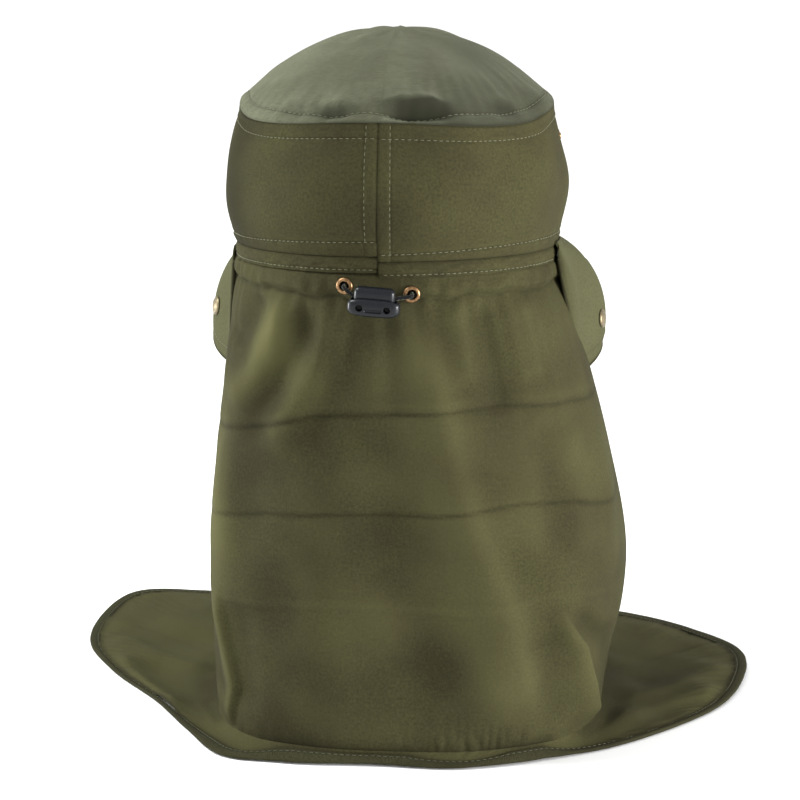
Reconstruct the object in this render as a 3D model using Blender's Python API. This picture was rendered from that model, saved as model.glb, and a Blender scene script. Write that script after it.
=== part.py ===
"""A bucket hat with a long neck flap, a front face mesh and a shoulder cape.

Metres, +Z up. The wearer faces -Y, so the neck flap hangs on the +Y side. The cape lies on
z = 0, and the origin is the middle of the cape's outline there.
"""

import math

import bpy
from mathutils import Matrix, Vector

MM = 0.001

# ------------------------------------------------------------------ driving dimensions
HAT_Y = 46.3 * MM             # how far the head's axis stands behind the cape's middle
HEAD_X = 90.5 * MM            # half the width of the hat at its hem
HEAD_Y = 102.5 * MM           # half the depth of the hat at its hem
HEM_MEAN_Z = 279.0 * MM
HEM_RISE = 8.5 * MM           # the hem is this much higher at the back, and lower in front
SEAM_Z = 358.0 * MM           # seam between the side panels and the top
DOME = 42.0 * MM              # rise of the top above its seam
CLOTH = 1.4 * MM
GAP = 0.4 * MM                # between panels that are sewn edge to edge
BAND_HEIGHT = 9.5 * MM
CHANNEL_DEPTH = 16.5 * MM     # height of the drawcord channel, below the band
SKIRT_FOOT_Z = 14.0 * MM      # where the hanging cloth turns outwards onto the surface
SKIRT_HALF_WIDTH = 119.0 * MM
SKIRT_HALF_DEPTH = 111.0 * MM
SKIRT_SWAY = 9.0 * MM         # how far it hangs towards the wearer's right
SKIRT_DRAWN_IN = 7.0 * MM     # how much narrower each half gets towards the foot
BINDING_WIDTH = 9.0 * MM
BINDING_THICK = 2.2 * MM
BINDING_GAP = 2.2 * MM
MESH_LOW_Z = 62.0 * MM        # lower edge of the face mesh
FLAP_EDGE = 112.0             # degrees from the back to the flap's front edges
BRIM_WIDTH = {"left": 70.5 * MM, "right": 79.5 * MM}
BRIM_FRONT_WIDTH = 68.0 * MM
BRIM_ROOT = {"left": -4.0 * MM, "right": 2.0 * MM}       # its height from the hem
BRIM_FRONT_ROOT = -4.0 * MM
BRIM_START = 82.5             # degrees from the back to the brim's rear tip
BRIM_FULL = 96.0              # and to where it has its full width
BRIM_CUT_Y = -60.0 * MM       # from the head's axis to the front end of the brim's wings
# How steeply the brim leaves its root and reaches its edge, in degrees below the level.
BRIM_DROOP = {
    "left": {"rear": (76.0, 92.0), "side": (23.0, 100.0), "front": (12.0, 30.0)},
    "right": {"rear": (62.0, 90.0), "side": (22.0, 105.0), "front": (12.0, 30.0)},
}
SNAP_REACH = {"left": 45.0 * MM, "right": 58.5 * MM}     # from the brim's root to its snap
SNAP_ANGLE = {"left": 103.3, "right": 105.0}             # degrees from the back
STUD_AHEAD = 7.0              # degrees that a crown stud stands ahead of its brim snap
SNAP_RADIUS = 5.3 * MM
EYELET_X = 17.5 * MM
EYELET_Z = {"left": 272.0 * MM, "right": 268.0 * MM}
EYELET_RADIUS = 4.8 * MM
EYELET_HOLE = 2.5 * MM
CORD_RADIUS = 1.1 * MM
CORD_STEP = 3.0 * MM
LOCK_CENTRE = Vector((1.0 * MM, HAT_Y + 115.0 * MM, 263.0 * MM))
LOCK_TILT = 4.0               # degrees, the wearer's right end lower
LOCK_SIZE = Vector((30.0 * MM, 12.0 * MM, 10.0 * MM))
PLUNGER_SIZE = Vector((24.0 * MM, 6.6 * MM, 15.0 * MM))
PLUNGER_FOOT = -1.2 * MM      # the plunger's underside, from the lock's centre
POCKET_FLOOR = -3.8 * MM
CORD_HOLE_X = 7.6 * MM
SPRING_RADIUS = 2.0 * MM
SPRING_WIRE = 0.3 * MM

# The cape's outline on the surface, for each side of the wearer: degrees from the back, and
# millimetres sideways and backwards from the head's axis.
CAPE_OUTLINE = {
    "left": [
        (0, 0, 114.5), (25, 56, 114.5), (42, 93, 102), (55, 117, 60), (68, 142, 12),
        (85, 179, -46), (98, 202, -97), (110, 205.5, -145), (122, 194, -194),
        (138, 150, -212), (160, 72, -213), (180, 0, -213.5),
    ],
    "right": [
        (0, 0, 114.5), (25, 53, 113), (42, 97, 92), (55, 134, 65), (68, 172, 19),
        (85, 199, -36), (98, 205.5, -92), (110, 197, -132), (122, 170, -167),
        (138, 130, -197), (160, 70, -211), (180, 0, -213.5),
    ],
}

OLIVE = (0.155, 0.148, 0.070)
PALE_OLIVE = (0.24, 0.24, 0.14)
DARK_OLIVE = (0.10, 0.097, 0.05)
BLACK = (0.012, 0.012, 0.012)
CHARCOAL = (0.03, 0.032, 0.036)
BRASS = (0.42, 0.30, 0.14)
STEEL = (0.55, 0.55, 0.55)


# ------------------------------------------------------------------ small helpers
def clear_scene():
    for o in list(bpy.data.objects):
        bpy.data.objects.remove(o, do_unlink=True)


def smooth(t):
    t = min(1.0, max(0.0, t))
    return t * t * (3 - 2 * t)


def mix(a, b, t):
    return a + (b - a) * t


def finish_material(obj, colour, roughness, metallic=0.0):
    material = bpy.data.materials.new(obj.name)
    material.use_nodes = True
    shader = material.node_tree.nodes["Principled BSDF"]
    shader.inputs["Base Color"].default_value = (*colour, 1.0)
    shader.inputs["Roughness"].default_value = roughness
    shader.inputs["Metallic"].default_value = metallic
    obj.data.materials.append(material)


def new_object(name, vertices, faces, colour, roughness=0.85, metallic=0.0):
    mesh = bpy.data.meshes.new(name)
    mesh.from_pydata(vertices, [], faces)
    mesh.update()
    mesh.shade_smooth()
    mesh.set_sharp_from_angle(angle=math.radians(40))
    obj = bpy.data.objects.new(name, mesh)
    bpy.context.scene.collection.objects.link(obj)
    finish_material(obj, colour, roughness, metallic)
    return obj


def cloth(name, rows, colour, thickness=CLOTH, ring=False, roughness=0.85):
    """A sheet of cloth through rows of points, each row running the same way round."""
    across = len(rows[0])
    vertices = [tuple(p) for row in rows for p in row]
    faces = []
    for i in range(len(rows) - 1):
        for j in range(across if ring else across - 1):
            k = (j + 1) % across
            faces.append((i * across + j, i * across + k,
                          (i + 1) * across + k, (i + 1) * across + j))
    obj = new_object(name, vertices, faces, colour, roughness)
    thicken(obj, thickness)
    return obj


def thicken(obj, thickness):
    solid = obj.modifiers.new("thickness", "SOLIDIFY")
    solid.thickness = thickness
    solid.offset = 0.0
    solid.use_even_offset = True
    solid.use_quality_normals = True


def turned(name, profile, colour, sides=24, roughness=0.35, metallic=1.0):
    """A piece turned about Z from a closed profile of (radius, height) points."""
    turns = zip(profile, profile[1:] + profile[:1])
    if sum(a[0] * b[1] - b[0] * a[1] for a, b in turns) < 0:
        profile = profile[::-1]
    vertices, rings = [], []
    for radius, height in profile:
        if radius == 0:
            rings.append([len(vertices)] * sides)
            vertices.append((0.0, 0.0, height))
            continue
        rings.append(list(range(len(vertices), len(vertices) + sides)))
        for i in range(sides):
            turn = 2 * math.pi * i / sides
            vertices.append((radius * math.cos(turn), radius * math.sin(turn), height))
    faces = []
    for low, high in zip(rings, rings[1:] + rings[:1]):
        for i in range(sides):
            k = (i + 1) % sides
            corners = [low[i], low[k], high[k], high[i]]
            corners = [c for n, c in enumerate(corners) if c not in corners[:n]]
            if len(corners) > 2:
                faces.append(corners)
    return new_object(name, vertices, faces, colour, roughness, metallic)


def stand_on(obj, point, normal):
    """Places a turned piece with its foot at a point and its axis along a normal."""
    obj.location = point
    obj.rotation_mode = "QUATERNION"
    obj.rotation_quaternion = normal.to_track_quat("Z", "Y")


def hinge_empty(name, matrix):
    empty = bpy.data.objects.new(name, None)
    empty.matrix_world = matrix
    bpy.context.scene.collection.objects.link(empty)
    return empty


def attach(obj, empty, matrix):
    """Hangs an object on an empty and keeps the object's place in the world."""
    obj.parent = empty
    obj.matrix_parent_inverse = matrix.inverted()


def cutter(name, obj, vertices, faces):
    """Cuts a closed shape out of an object."""
    mesh = bpy.data.meshes.new(name)
    mesh.from_pydata(vertices, [], faces)
    tool = bpy.data.objects.new(name, mesh)
    tool.hide_render = True
    tool.display_type = "WIRE"
    bpy.context.scene.collection.objects.link(tool)
    cut = obj.modifiers.new(name, "BOOLEAN")
    cut.operation = "DIFFERENCE"
    cut.object = tool
    return tool


def box_shape(size, centre=Vector((0, 0, 0))):
    corners = [(x, y, z) for x in (-0.5, 0.5) for y in (-0.5, 0.5) for z in (-0.5, 0.5)]
    vertices = [(centre.x + x * size.x, centre.y + y * size.y, centre.z + z * size.z)
                for x, y, z in corners]
    faces = [(0, 1, 3, 2), (4, 6, 7, 5), (0, 4, 5, 1), (2, 3, 7, 6), (0, 2, 6, 4), (1, 5, 7, 3)]
    return vertices, faces


def rod_shape(radius, length, axis, sides=16):
    """A closed rod about the origin, along Y or Z."""
    vertices, faces = [], []
    for end in (-length / 2, length / 2):
        for i in range(sides):
            turn = 2 * math.pi * i / sides
            a, b = radius * math.cos(turn), radius * math.sin(turn)
            vertices.append((b, end, a) if axis == "Y" else (a, b, end))
    for i in range(sides):
        k = (i + 1) % sides
        faces.append((i, k, sides + k, sides + i))
    faces.append(tuple(reversed(range(sides))))
    faces.append(tuple(range(sides, 2 * sides)))
    return vertices, faces


# ------------------------------------------------------------------ the shape of the hat
def hem_z(angle):
    return HEM_MEAN_Z + HEM_RISE * math.cos(angle)


def hat_point(angle, outward, z):
    """A point on the hat's oval, angle measured from the back towards the wearer's left."""
    return Vector((
        (HEAD_X + outward) * math.sin(angle),
        HAT_Y + (HEAD_Y + outward) * math.cos(angle),
        z,
    ))


def crown_swell(share):
    """How far the side panels stand out at a share of their height."""
    return 6.6 * MM * math.sin(math.pi * min(1.0, share * 1.06)) ** 0.9 - 2.2 * MM * share ** 3


def skirt_section(angle, z):
    """A point on the tube of cloth that hangs from the hat."""
    down = smooth((HEM_MEAN_Z - z) / (200 * MM))
    wide = mix(HEAD_X, SKIRT_HALF_WIDTH, down ** 0.8)
    wide -= SKIRT_DRAWN_IN * smooth((SKIRT_FOOT_Z + 50 * MM - z) / (70 * MM))
    deep = mix(HEAD_Y, SKIRT_HALF_DEPTH, down)
    power = mix(2.0, 2.7, down)
    sway = -SKIRT_SWAY * down
    s, c = math.sin(angle), math.cos(angle)
    x = math.copysign(abs(s) ** (2 / power), s) * wide + sway
    y = math.copysign(abs(c) ** (2 / power), c) * deep
    return Vector((x, HAT_Y + y, z))


def cape_edge(angle):
    """The cape's outline on the surface, through CAPE_OUTLINE as a smooth curve."""
    side = 1 if math.sin(angle) >= 0 else -1
    degrees = abs((math.degrees(angle) + 180) % 360 - 180)
    points, others = CAPE_OUTLINE["left"], CAPE_OUTLINE["right"]
    if side < 0:
        points, others = others, points
    first = (-others[1][0], -others[1][1], others[1][2])
    last = (360 - others[-2][0], -others[-2][1], others[-2][2])
    path = [first] + points + [last]
    i = 1
    while i < len(path) - 3 and path[i + 1][0] < degrees:
        i += 1
    before, a, b, after = path[i - 1:i + 3]
    t = (degrees - a[0]) / (b[0] - a[0])
    place = []
    for k in (1, 2):
        slope_a = (b[k] - before[k]) / (b[0] - before[0]) * (b[0] - a[0])
        slope_b = (after[k] - a[k]) / (after[0] - a[0]) * (b[0] - a[0])
        place.append(
            (2 * t ** 3 - 3 * t ** 2 + 1) * a[k] + (t ** 3 - 2 * t ** 2 + t) * slope_a
            + (3 * t ** 2 - 2 * t ** 3) * b[k] + (t ** 3 - t ** 2) * slope_b
        )
    return Vector((side * place[0] * MM, HAT_Y + place[1] * MM, BINDING_THICK / 2))


def flare_point(angle, share):
    """The turned-out part of the skirt, from its foot at 0 to the cape's edge at 1."""
    foot = skirt_section(angle, SKIRT_FOOT_Z)
    edge = cape_edge(angle)
    reach = (edge.xy - foot.xy).length
    bend = 1 + 2.2 * smooth(reach / (40 * MM))
    flat = foot.lerp(edge, share)
    flat.z = mix(edge.z, foot.z, (1 - share) ** bend)
    return flat


def binding_share(angle, before=0.0):
    """The share of the turned-out part where the binding starts, or a little before it."""
    foot, edge = skirt_section(angle, SKIRT_FOOT_Z), cape_edge(angle)
    return 1 - (BINDING_WIDTH + before) / max((edge - foot).length, BINDING_WIDTH * 1.3)


def skirt_top(angle):
    return hem_z(angle) - BAND_HEIGHT - GAP


def arc(start, end, steps):
    return [math.radians(mix(start, end, i / steps)) for i in range(steps + 1)]


# ------------------------------------------------------------------ crown
def crown_top():
    sides, rings = 36, 5
    top = Vector((0, HAT_Y, SEAM_Z + DOME))
    vertices, faces = [tuple(top)], []
    for i in range(1, rings + 1):
        share = i / rings
        z = SEAM_Z + 1.0 * MM + DOME * (1 - share ** 2.1) ** 0.92
        for j in range(sides):
            rim = hat_point(2 * math.pi * j / sides, crown_swell(1) - 0.6 * MM, z)
            middle = Vector((0, HAT_Y, z))
            vertices.append(tuple(middle.lerp(rim, share)))
    for j in range(sides):
        k = (j + 1) % sides
        faces.append((0, 1 + k, 1 + j))
        for i in range(rings - 1):
            a, b = 1 + i * sides, 1 + (i + 1) * sides
            faces.append((a + j, a + k, b + k, b + j))
    obj = new_object("crown_top", vertices, faces, PALE_OLIVE)
    thicken(obj, CLOTH)


def crown_side(side):
    sign = 1 if side == "left" else -1
    levels = 6
    rows = []
    for i in range(levels + 1):
        share = i / levels
        row = []
        for angle in arc(0.25, 179.75, 22):
            z = mix(hem_z(angle) + GAP / 2, SEAM_Z, share)
            row.append(hat_point(sign * angle, crown_swell(share), z))
        rows.append(row)
    cloth(f"crown_side_{side}", rows, OLIVE)


def hem_band(side):
    sign = 1 if side == "left" else -1
    rows = []
    for drop in (GAP / 2, BAND_HEIGHT):
        rows.append([hat_point(sign * a, 0, hem_z(a) - drop) for a in arc(0.25, 179.75, 22)])
    cloth(f"hem_band_{side}", rows, OLIVE, thickness=1.8 * MM)


def sweatband():
    rows = []
    for rise in (20 * MM, -8.5 * MM):
        rows.append([hat_point(2 * math.pi * j / 44, -2.9 * MM, hem_z(2 * math.pi * j / 44) + rise)
                     for j in range(44)])
    cloth("sweatband", rows, DARK_OLIVE, thickness=1.2 * MM, ring=True)


# ------------------------------------------------------------------ brim
def brim_droop(degrees, side, end):
    """How far below the level the brim points, at its root (end 0) or its edge (end 1)."""
    droop = BRIM_DROOP[side]
    near_rear = mix(droop["rear"][end], droop["side"][end], smooth((degrees - 90) / 26))
    return math.radians(mix(near_rear, droop["front"][end], brim_front_share(degrees)))


def brim_front_share(degrees):
    """How much the brim has the shape of its front: 0 at the sides, 1 at the face."""
    return smooth((degrees - 114) / 55)


def brim_point(angle, share, side):
    """A point on the brim, from its root at 0 to its edge at 1."""
    degrees = math.degrees(abs(angle))
    tip = max(0.0, (BRIM_FULL - degrees) / (BRIM_FULL - BRIM_START))
    rounding = math.sqrt(max(0.0, 1 - tip ** 2))
    front = brim_front_share(degrees)
    width = mix(BRIM_WIDTH[side], BRIM_FRONT_WIDTH, front) * rounding
    start, end = brim_droop(degrees, side, 0), brim_droop(degrees, side, 1)
    bend = (end - start) * share
    run = (math.sin(start + bend) - math.sin(start)) / bend if bend else math.cos(start)
    fall = (math.cos(start) - math.cos(start + bend)) / bend if bend else math.sin(start)
    lift = mix(BRIM_ROOT[side], BRIM_FRONT_ROOT, front)
    root = hat_point(angle, 2.5 * MM, hem_z(angle) + lift)
    away = Vector((math.sin(angle) / HEAD_X, math.cos(angle) / HEAD_Y, 0)).normalized()
    return root + away * (run * width * share) - Vector((0, 0, fall * width * share))


def brim_angle_at(y, share, side, sign):
    """The angle at which a line of constant share crosses a plane across the head."""
    low, high = math.radians(90), math.radians(170)
    for _ in range(40):
        middle = (low + high) / 2
        if brim_point(sign * middle, share, side).y > HAT_Y + y:
            low = middle
        else:
            high = middle
    return low


def brim_rows(side, from_front):
    """Rows from the root to the edge of one side's brim, on one side of its cut."""
    sign = 1 if side == "left" else -1
    levels, steps = 6, 9
    rows = []
    for i in range(levels + 1):
        share = i / levels
        if from_front:
            start = brim_angle_at(BRIM_CUT_Y - GAP, share, side, sign)
            end = math.pi
        else:
            start = math.radians(BRIM_START + 1.5)
            end = brim_angle_at(BRIM_CUT_Y + GAP, share, side, sign)
        turns = [mix(start, end, j / steps) for j in range(steps + 1)]
        rows.append([brim_point(sign * turn, share, side) for turn in turns])
    return rows


def brim_front():
    left, right = brim_rows("left", True), brim_rows("right", True)
    rows = [a[:-1] + list(reversed(b)) for a, b in zip(left, right)]
    cloth("brim_front", rows, PALE_OLIVE, thickness=1.6 * MM)


def wing_axis(side):
    sign = 1 if side == "left" else -1
    return Vector((sign * (HEAD_X + 3.5 * MM), HAT_Y, HEM_MEAN_Z + BRIM_ROOT[side]))


def snap_on_brim(side):
    """The place and outward normal of the snap in a brim wing."""
    sign = 1 if side == "left" else -1
    angle, share = sign * math.radians(SNAP_ANGLE[side]), SNAP_REACH[side] / BRIM_WIDTH[side]
    step = 0.01
    place = brim_point(angle, share, side)
    along = brim_point(angle + step, share, side) - place
    down = brim_point(angle, share + step, side) - place
    normal = along.cross(down).normalized()
    return place, normal if normal.x * sign > 0 else -normal


def brim_wing(side):
    wing = cloth(f"brim_wing_{side}", brim_rows(side, False), PALE_OLIVE, thickness=1.6 * MM)
    matrix = Matrix.Translation(wing_axis(side))
    hinge = hinge_empty(f"brim_hinge_{side}", matrix)
    place, normal = snap_on_brim(side)
    hole = cutter(f"brim_snap_hole_{side}", wing, *rod_shape(1.9 * MM, 8 * MM, "Z"))
    stand_on(hole, place, normal)
    cap = turned(f"brim_snap_cap_{side}", [
        (0, 2.9 * MM), (3.0 * MM, 2.65 * MM), (4.7 * MM, 2.0 * MM), (SNAP_RADIUS, 1.65 * MM),
        (4.9 * MM, 1.5 * MM), (1.5 * MM, 1.5 * MM), (1.5 * MM, -1.2 * MM), (0, -1.2 * MM),
    ], BRASS)
    stand_on(cap, place, normal)
    socket = turned(f"brim_snap_socket_{side}", [
        (1.9 * MM, 1.8 * MM), (4.4 * MM, 1.8 * MM), (4.4 * MM, 2.4 * MM),
        (3.4 * MM, 3.4 * MM), (2.6 * MM, 3.4 * MM), (2.3 * MM, 2.6 * MM),
    ], BRASS)
    stand_on(socket, place, -normal)
    for piece in (wing, hole, cap, socket):
        attach(piece, hinge, matrix)


def crown_snap(side):
    """The stud that a folded-up brim wing snaps onto, and its plate inside the crown."""
    sign = 1 if side == "left" else -1
    angle = sign * math.radians(SNAP_ANGLE[side] + STUD_AHEAD)
    z = hem_z(angle) + SNAP_REACH[side]
    share, step = (z - hem_z(angle)) / (SEAM_Z - hem_z(angle)), 0.01
    place = hat_point(angle, crown_swell(share), z)
    along = hat_point(angle + step, crown_swell(share), z) - place
    normal = Vector((along.y, -along.x, 0)).normalized()
    normal = normal if normal.x * sign > 0 else -normal
    hole = cutter(f"crown_snap_hole_{side}", bpy.data.objects[f"crown_side_{side}"],
                  *rod_shape(1.9 * MM, 8 * MM, "Z"))
    stand_on(hole, place, normal)
    stud = turned(f"crown_snap_stud_{side}", [
        (0, 3.7 * MM), (1.9 * MM, 3.5 * MM), (2.1 * MM, 2.9 * MM), (1.8 * MM, 2.4 * MM),
        (4.2 * MM, 2.2 * MM), (4.2 * MM, 1.75 * MM), (1.4 * MM, 1.75 * MM),
        (1.4 * MM, -2.2 * MM), (0, -2.2 * MM),
    ], BRASS)
    stand_on(stud, place, normal)
    plate = turned(f"crown_snap_plate_{side}", [
        (2.0 * MM, 2.2 * MM), (4.4 * MM, 2.2 * MM), (4.4 * MM, 2.7 * MM), (2.0 * MM, 2.7 * MM),
    ], BRASS)
    stand_on(plate, place, -normal)


# ------------------------------------------------------------------ skirt
def skirt_rows(angles, low_z=None):
    """Rows of the skirt from its top down, to a level or on to the binding."""
    rows = []
    for i in range(8):
        end = low_z if low_z else SKIRT_FOOT_Z
        rows.append([skirt_section(a, mix(skirt_top(a), end, i / 7)) for a in angles])
    return rows + ([] if low_z else flare_rows(angles))


def flare_rows(angles):
    rows = []
    for share in (0.3, 0.65, 1.0):
        rows.append([flare_point(a, binding_share(a, BINDING_GAP) * share) for a in angles])
    return rows


def flap_angles():
    return arc(0.2 - FLAP_EDGE, FLAP_EDGE - 0.2, 36)


def front_angles():
    return arc(FLAP_EDGE + 0.2, 360 - FLAP_EDGE - 0.2, 20)


def neck_flap():
    flap = cloth("neck_flap", skirt_rows(flap_angles()), OLIVE)
    for side in ("left", "right"):
        hole = cutter(f"eyelet_hole_{side}", flap, *rod_shape(3.4 * MM, 12 * MM, "Z"))
        stand_on(hole, *eyelet_place(side))


def face_mesh():
    cloth("face_mesh", skirt_rows(front_angles(), MESH_LOW_Z + GAP), BLACK, thickness=1.0 * MM)


def chest_panel():
    angles = front_angles()
    rows = [[skirt_section(a, z) for a in angles] for z in (MESH_LOW_Z, 36 * MM, SKIRT_FOOT_Z)]
    cloth("chest_panel", rows + flare_rows(angles), OLIVE)


def mesh_tape(side):
    sign = 1 if side == "left" else -1
    rows = []
    for i in range(9):
        z = mix(220 * MM, MESH_LOW_Z + 6 * MM, i / 8)
        row = []
        for turn in (-2.2, 2.2):
            angle = sign * math.radians(FLAP_EDGE + turn)
            spot = skirt_section(angle, z)
            outward = Vector((spot.x, spot.y - HAT_Y, 0)).normalized()
            row.append(spot + outward * 1.9 * MM)
        rows.append(row)
    cloth(f"mesh_tape_{side}", rows, DARK_OLIVE, thickness=0.9 * MM)


def mesh_tape_lower():
    rows = []
    for z in (MESH_LOW_Z + 4 * MM, MESH_LOW_Z - 4 * MM):
        row = []
        for angle in front_angles():
            spot = skirt_section(angle, z)
            outward = Vector((spot.x, spot.y - HAT_Y, 0)).normalized()
            row.append(spot + outward * 1.9 * MM)
        rows.append(row)
    cloth("mesh_tape_lower", rows, DARK_OLIVE, thickness=0.9 * MM)


def cape_binding():
    """The folded tape round the cape's whole edge, as a flat ring."""
    angles = flap_angles() + front_angles()
    rows = []
    for end in (0.0, 1.0):
        rows.append([flare_point(a, mix(binding_share(a), 1.0, end)) for a in angles])
    cloth("cape_binding", rows, OLIVE, thickness=BINDING_THICK, ring=True)


# ------------------------------------------------------------------ drawcord
def eyelet_place(side):
    """The middle of an eyelet on the flap, and the flap's outward normal there."""
    sign = 1 if side == "left" else -1
    angle = math.asin(EYELET_X / HEAD_X)
    z = EYELET_Z[side]
    place = skirt_section(sign * angle, z)
    along = skirt_section(sign * angle + 0.01, z) - place
    normal = Vector((along.y, -along.x, 0)).normalized()
    return place, normal if normal.y > 0 else -normal


def eyelet(side):
    place, normal = eyelet_place(side)
    ring = turned(f"eyelet_{side}", [
        (EYELET_HOLE, -1.9 * MM), (EYELET_HOLE, 1.5 * MM), (2.9 * MM, 2.0 * MM),
        (3.8 * MM, 2.1 * MM), (4.6 * MM, 1.7 * MM), (EYELET_RADIUS, 1.25 * MM),
        (3.0 * MM, 1.25 * MM), (3.0 * MM, -1.9 * MM),
    ], BRASS)
    stand_on(ring, place, normal)
    washer = turned(f"eyelet_washer_{side}", [
        (3.4 * MM, 1.1 * MM), (4.6 * MM, 1.1 * MM), (4.6 * MM, 1.6 * MM), (3.4 * MM, 1.6 * MM),
    ], BRASS)
    stand_on(washer, place, -normal)


def drawcord_channel():
    rows = []
    for drop in (10.5 * MM, 10.5 * MM + CHANNEL_DEPTH):
        rows.append([hat_point(a, -6.6 * MM, hem_z(a) - drop) for a in arc(-98, 98, 30)])
    cloth("drawcord_channel", rows, DARK_OLIVE, thickness=0.8 * MM)


def lock_matrix():
    return Matrix.Translation(LOCK_CENTRE) @ Matrix.Rotation(math.radians(-LOCK_TILT), 4, "Y")


def curve_through(points, spacing):
    """Points evenly spaced along a smooth curve through the given ones."""
    path = [points[0] * 2 - points[1]] + points + [points[-1] * 2 - points[-2]]
    fine = []
    for i in range(1, len(path) - 2):
        p0, p1, p2, p3 = path[i - 1:i + 3]
        for j in range(12):
            t = j / 12
            fine.append(0.5 * (2 * p1 + (p2 - p0) * t + (2 * p0 - 5 * p1 + 4 * p2 - p3) * t * t
                               + (3 * p1 - p0 - 3 * p2 + p3) * t ** 3))
    fine.append(path[-2])
    along = [0.0]
    for a, b in zip(fine, fine[1:]):
        along.append(along[-1] + (b - a).length)
    count = max(4, round(along[-1] / spacing))
    result, i = [], 0
    for n in range(count + 1):
        goal = along[-1] * n / count
        while i < len(along) - 2 and along[i + 1] < goal:
            i += 1
        result.append(fine[i].lerp(fine[i + 1], (goal - along[i]) / (along[i + 1] - along[i])))
    return result


def tube(name, points, radius, colour, resolution, roughness, metallic=0.0):
    data = bpy.data.curves.new(name, "CURVE")
    data.dimensions = "3D"
    data.bevel_depth = radius
    data.bevel_resolution = resolution
    data.use_fill_caps = True
    spline = data.splines.new("POLY")
    spline.points.add(len(points) - 1)
    for spot, place in zip(spline.points, points):
        spot.co = (*place, 1.0)
    obj = bpy.data.objects.new(name, data)
    bpy.context.scene.collection.objects.link(obj)
    finish_material(obj, colour, roughness, metallic)
    return obj


def drawcord(side):
    """Elastic cord from its sewn end, along the channel, out of the eyelet, into the lock."""
    sign = 1 if side == "left" else -1
    route = []
    for degrees in (92, 80, 68, 56, 44, 34, 26):
        angle = sign * math.radians(degrees)
        route.append(hat_point(angle, -3.0 * MM, hem_z(angle) - 18.5 * MM))
    place, normal = eyelet_place(side)
    route.append(place - normal * 3.7 * MM + Vector((sign * 2.4 * MM, 0, 0)))
    route.append(place - normal * 2.2 * MM + Vector((sign * 0.4 * MM, 0, 0)))
    route.append(place - normal * 0.6 * MM)
    route.append(place + normal * 1.6 * MM)
    route.append(place + normal * 3.3 * MM + Vector((-sign * 0.5 * MM, 0, -0.4 * MM)))
    mouth = lock_matrix() @ Vector((sign * CORD_HOLE_X, -LOCK_SIZE.y / 2, 0))
    tail = lock_matrix() @ Vector((sign * CORD_HOLE_X, LOCK_SIZE.y / 2 - 1.5 * MM, 0))
    route.append(mouth + Vector((sign * 4.6 * MM, -3.2 * MM, 4.4 * MM)))
    route.append(mouth + Vector((sign * 0.6 * MM, -2.0 * MM, 0.5 * MM)))
    route.append(mouth + Vector((0, 0.6 * MM, 0)))
    route.append(mouth.lerp(tail, 0.5))
    route.append(tail)
    tube(f"drawcord_{side}", curve_through(route, CORD_STEP), CORD_RADIUS, BLACK, 2, 0.8)


def lock_body(frame):
    vertices, faces = box_shape(LOCK_SIZE)
    body = new_object("cord_lock_body", vertices, faces, CHARCOAL, 0.35)
    rounding = body.modifiers.new("rounding", "BEVEL")
    rounding.width = 3.6 * MM
    rounding.segments = 4
    rounding.limit_method = "NONE"
    pocket_height = LOCK_SIZE.z / 2 - POCKET_FLOOR + 2 * MM
    pocket = Vector((PLUNGER_SIZE.x + 0.8 * MM, PLUNGER_SIZE.y + 0.8 * MM, pocket_height))
    middle = Vector((0, 0, POCKET_FLOOR + pocket_height / 2))
    tools = [cutter("lock_pocket", body, *box_shape(pocket, middle))]
    for sign in (-1, 1):
        rod = cutter(f"lock_cord_hole_{sign}", body, *rod_shape(2.1 * MM, 20 * MM, "Y"))
        rod.location.x = sign * CORD_HOLE_X
        tools.append(rod)
    for piece in [body] + tools:
        piece.parent = frame


def lock_plunger(frame):
    middle = Vector((0, 0, PLUNGER_FOOT + PLUNGER_SIZE.z / 2))
    vertices, faces = box_shape(PLUNGER_SIZE, middle)
    plunger = new_object("cord_lock_plunger", vertices, faces, CHARCOAL, 0.35)
    rounding = plunger.modifiers.new("rounding", "BEVEL")
    rounding.width = 1.4 * MM
    rounding.segments = 3
    notch = Vector((3.6 * MM, 12 * MM, 10 * MM))
    tools = []
    for sign in (-1, 1):
        centre = Vector((sign * CORD_HOLE_X, 0, 4.3 * MM - notch.z / 2))
        tools.append(cutter(f"plunger_notch_{sign}", plunger, *box_shape(notch, centre)))
    bore = cutter("plunger_spring_bore", plunger, *rod_shape(2.7 * MM, 12 * MM, "Z"))
    bore.location.z = -0.5 * MM
    tools.append(bore)
    for piece in [plunger] + tools:
        piece.parent = frame


def lock_spring(frame):
    turns, per_turn = 5, 12
    low, high = POCKET_FLOOR + 0.6 * MM, 5.0 * MM
    points = []
    for i in range(turns * per_turn + 1):
        turn = 2 * math.pi * i / per_turn
        z = mix(low, high, i / (turns * per_turn))
        points.append(Vector((SPRING_RADIUS * math.cos(turn), SPRING_RADIUS * math.sin(turn), z)))
    spring = tube("cord_lock_spring", points, SPRING_WIRE, STEEL, 1, 0.3, 1.0)
    spring.parent = frame


# ------------------------------------------------------------------ assembly
clear_scene()
crown_top()
sweatband()
for wearer_side in ("left", "right"):
    crown_side(wearer_side)
    hem_band(wearer_side)
    brim_wing(wearer_side)
    crown_snap(wearer_side)
brim_front()
neck_flap()
face_mesh()
chest_panel()
mesh_tape_lower()
cape_binding()
drawcord_channel()
for wearer_side in ("left", "right"):
    mesh_tape(wearer_side)
    eyelet(wearer_side)
    drawcord(wearer_side)
lock_frame = hinge_empty("cord_lock_frame", lock_matrix())
lock_body(lock_frame)
lock_plunger(lock_frame)
lock_spring(lock_frame)
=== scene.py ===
"""The looks of a sun hat with a long neck flap, a face mesh and a bound shoulder cape."""

import math

import bpy
import numpy as np
from mathutils import Matrix, Vector


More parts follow.
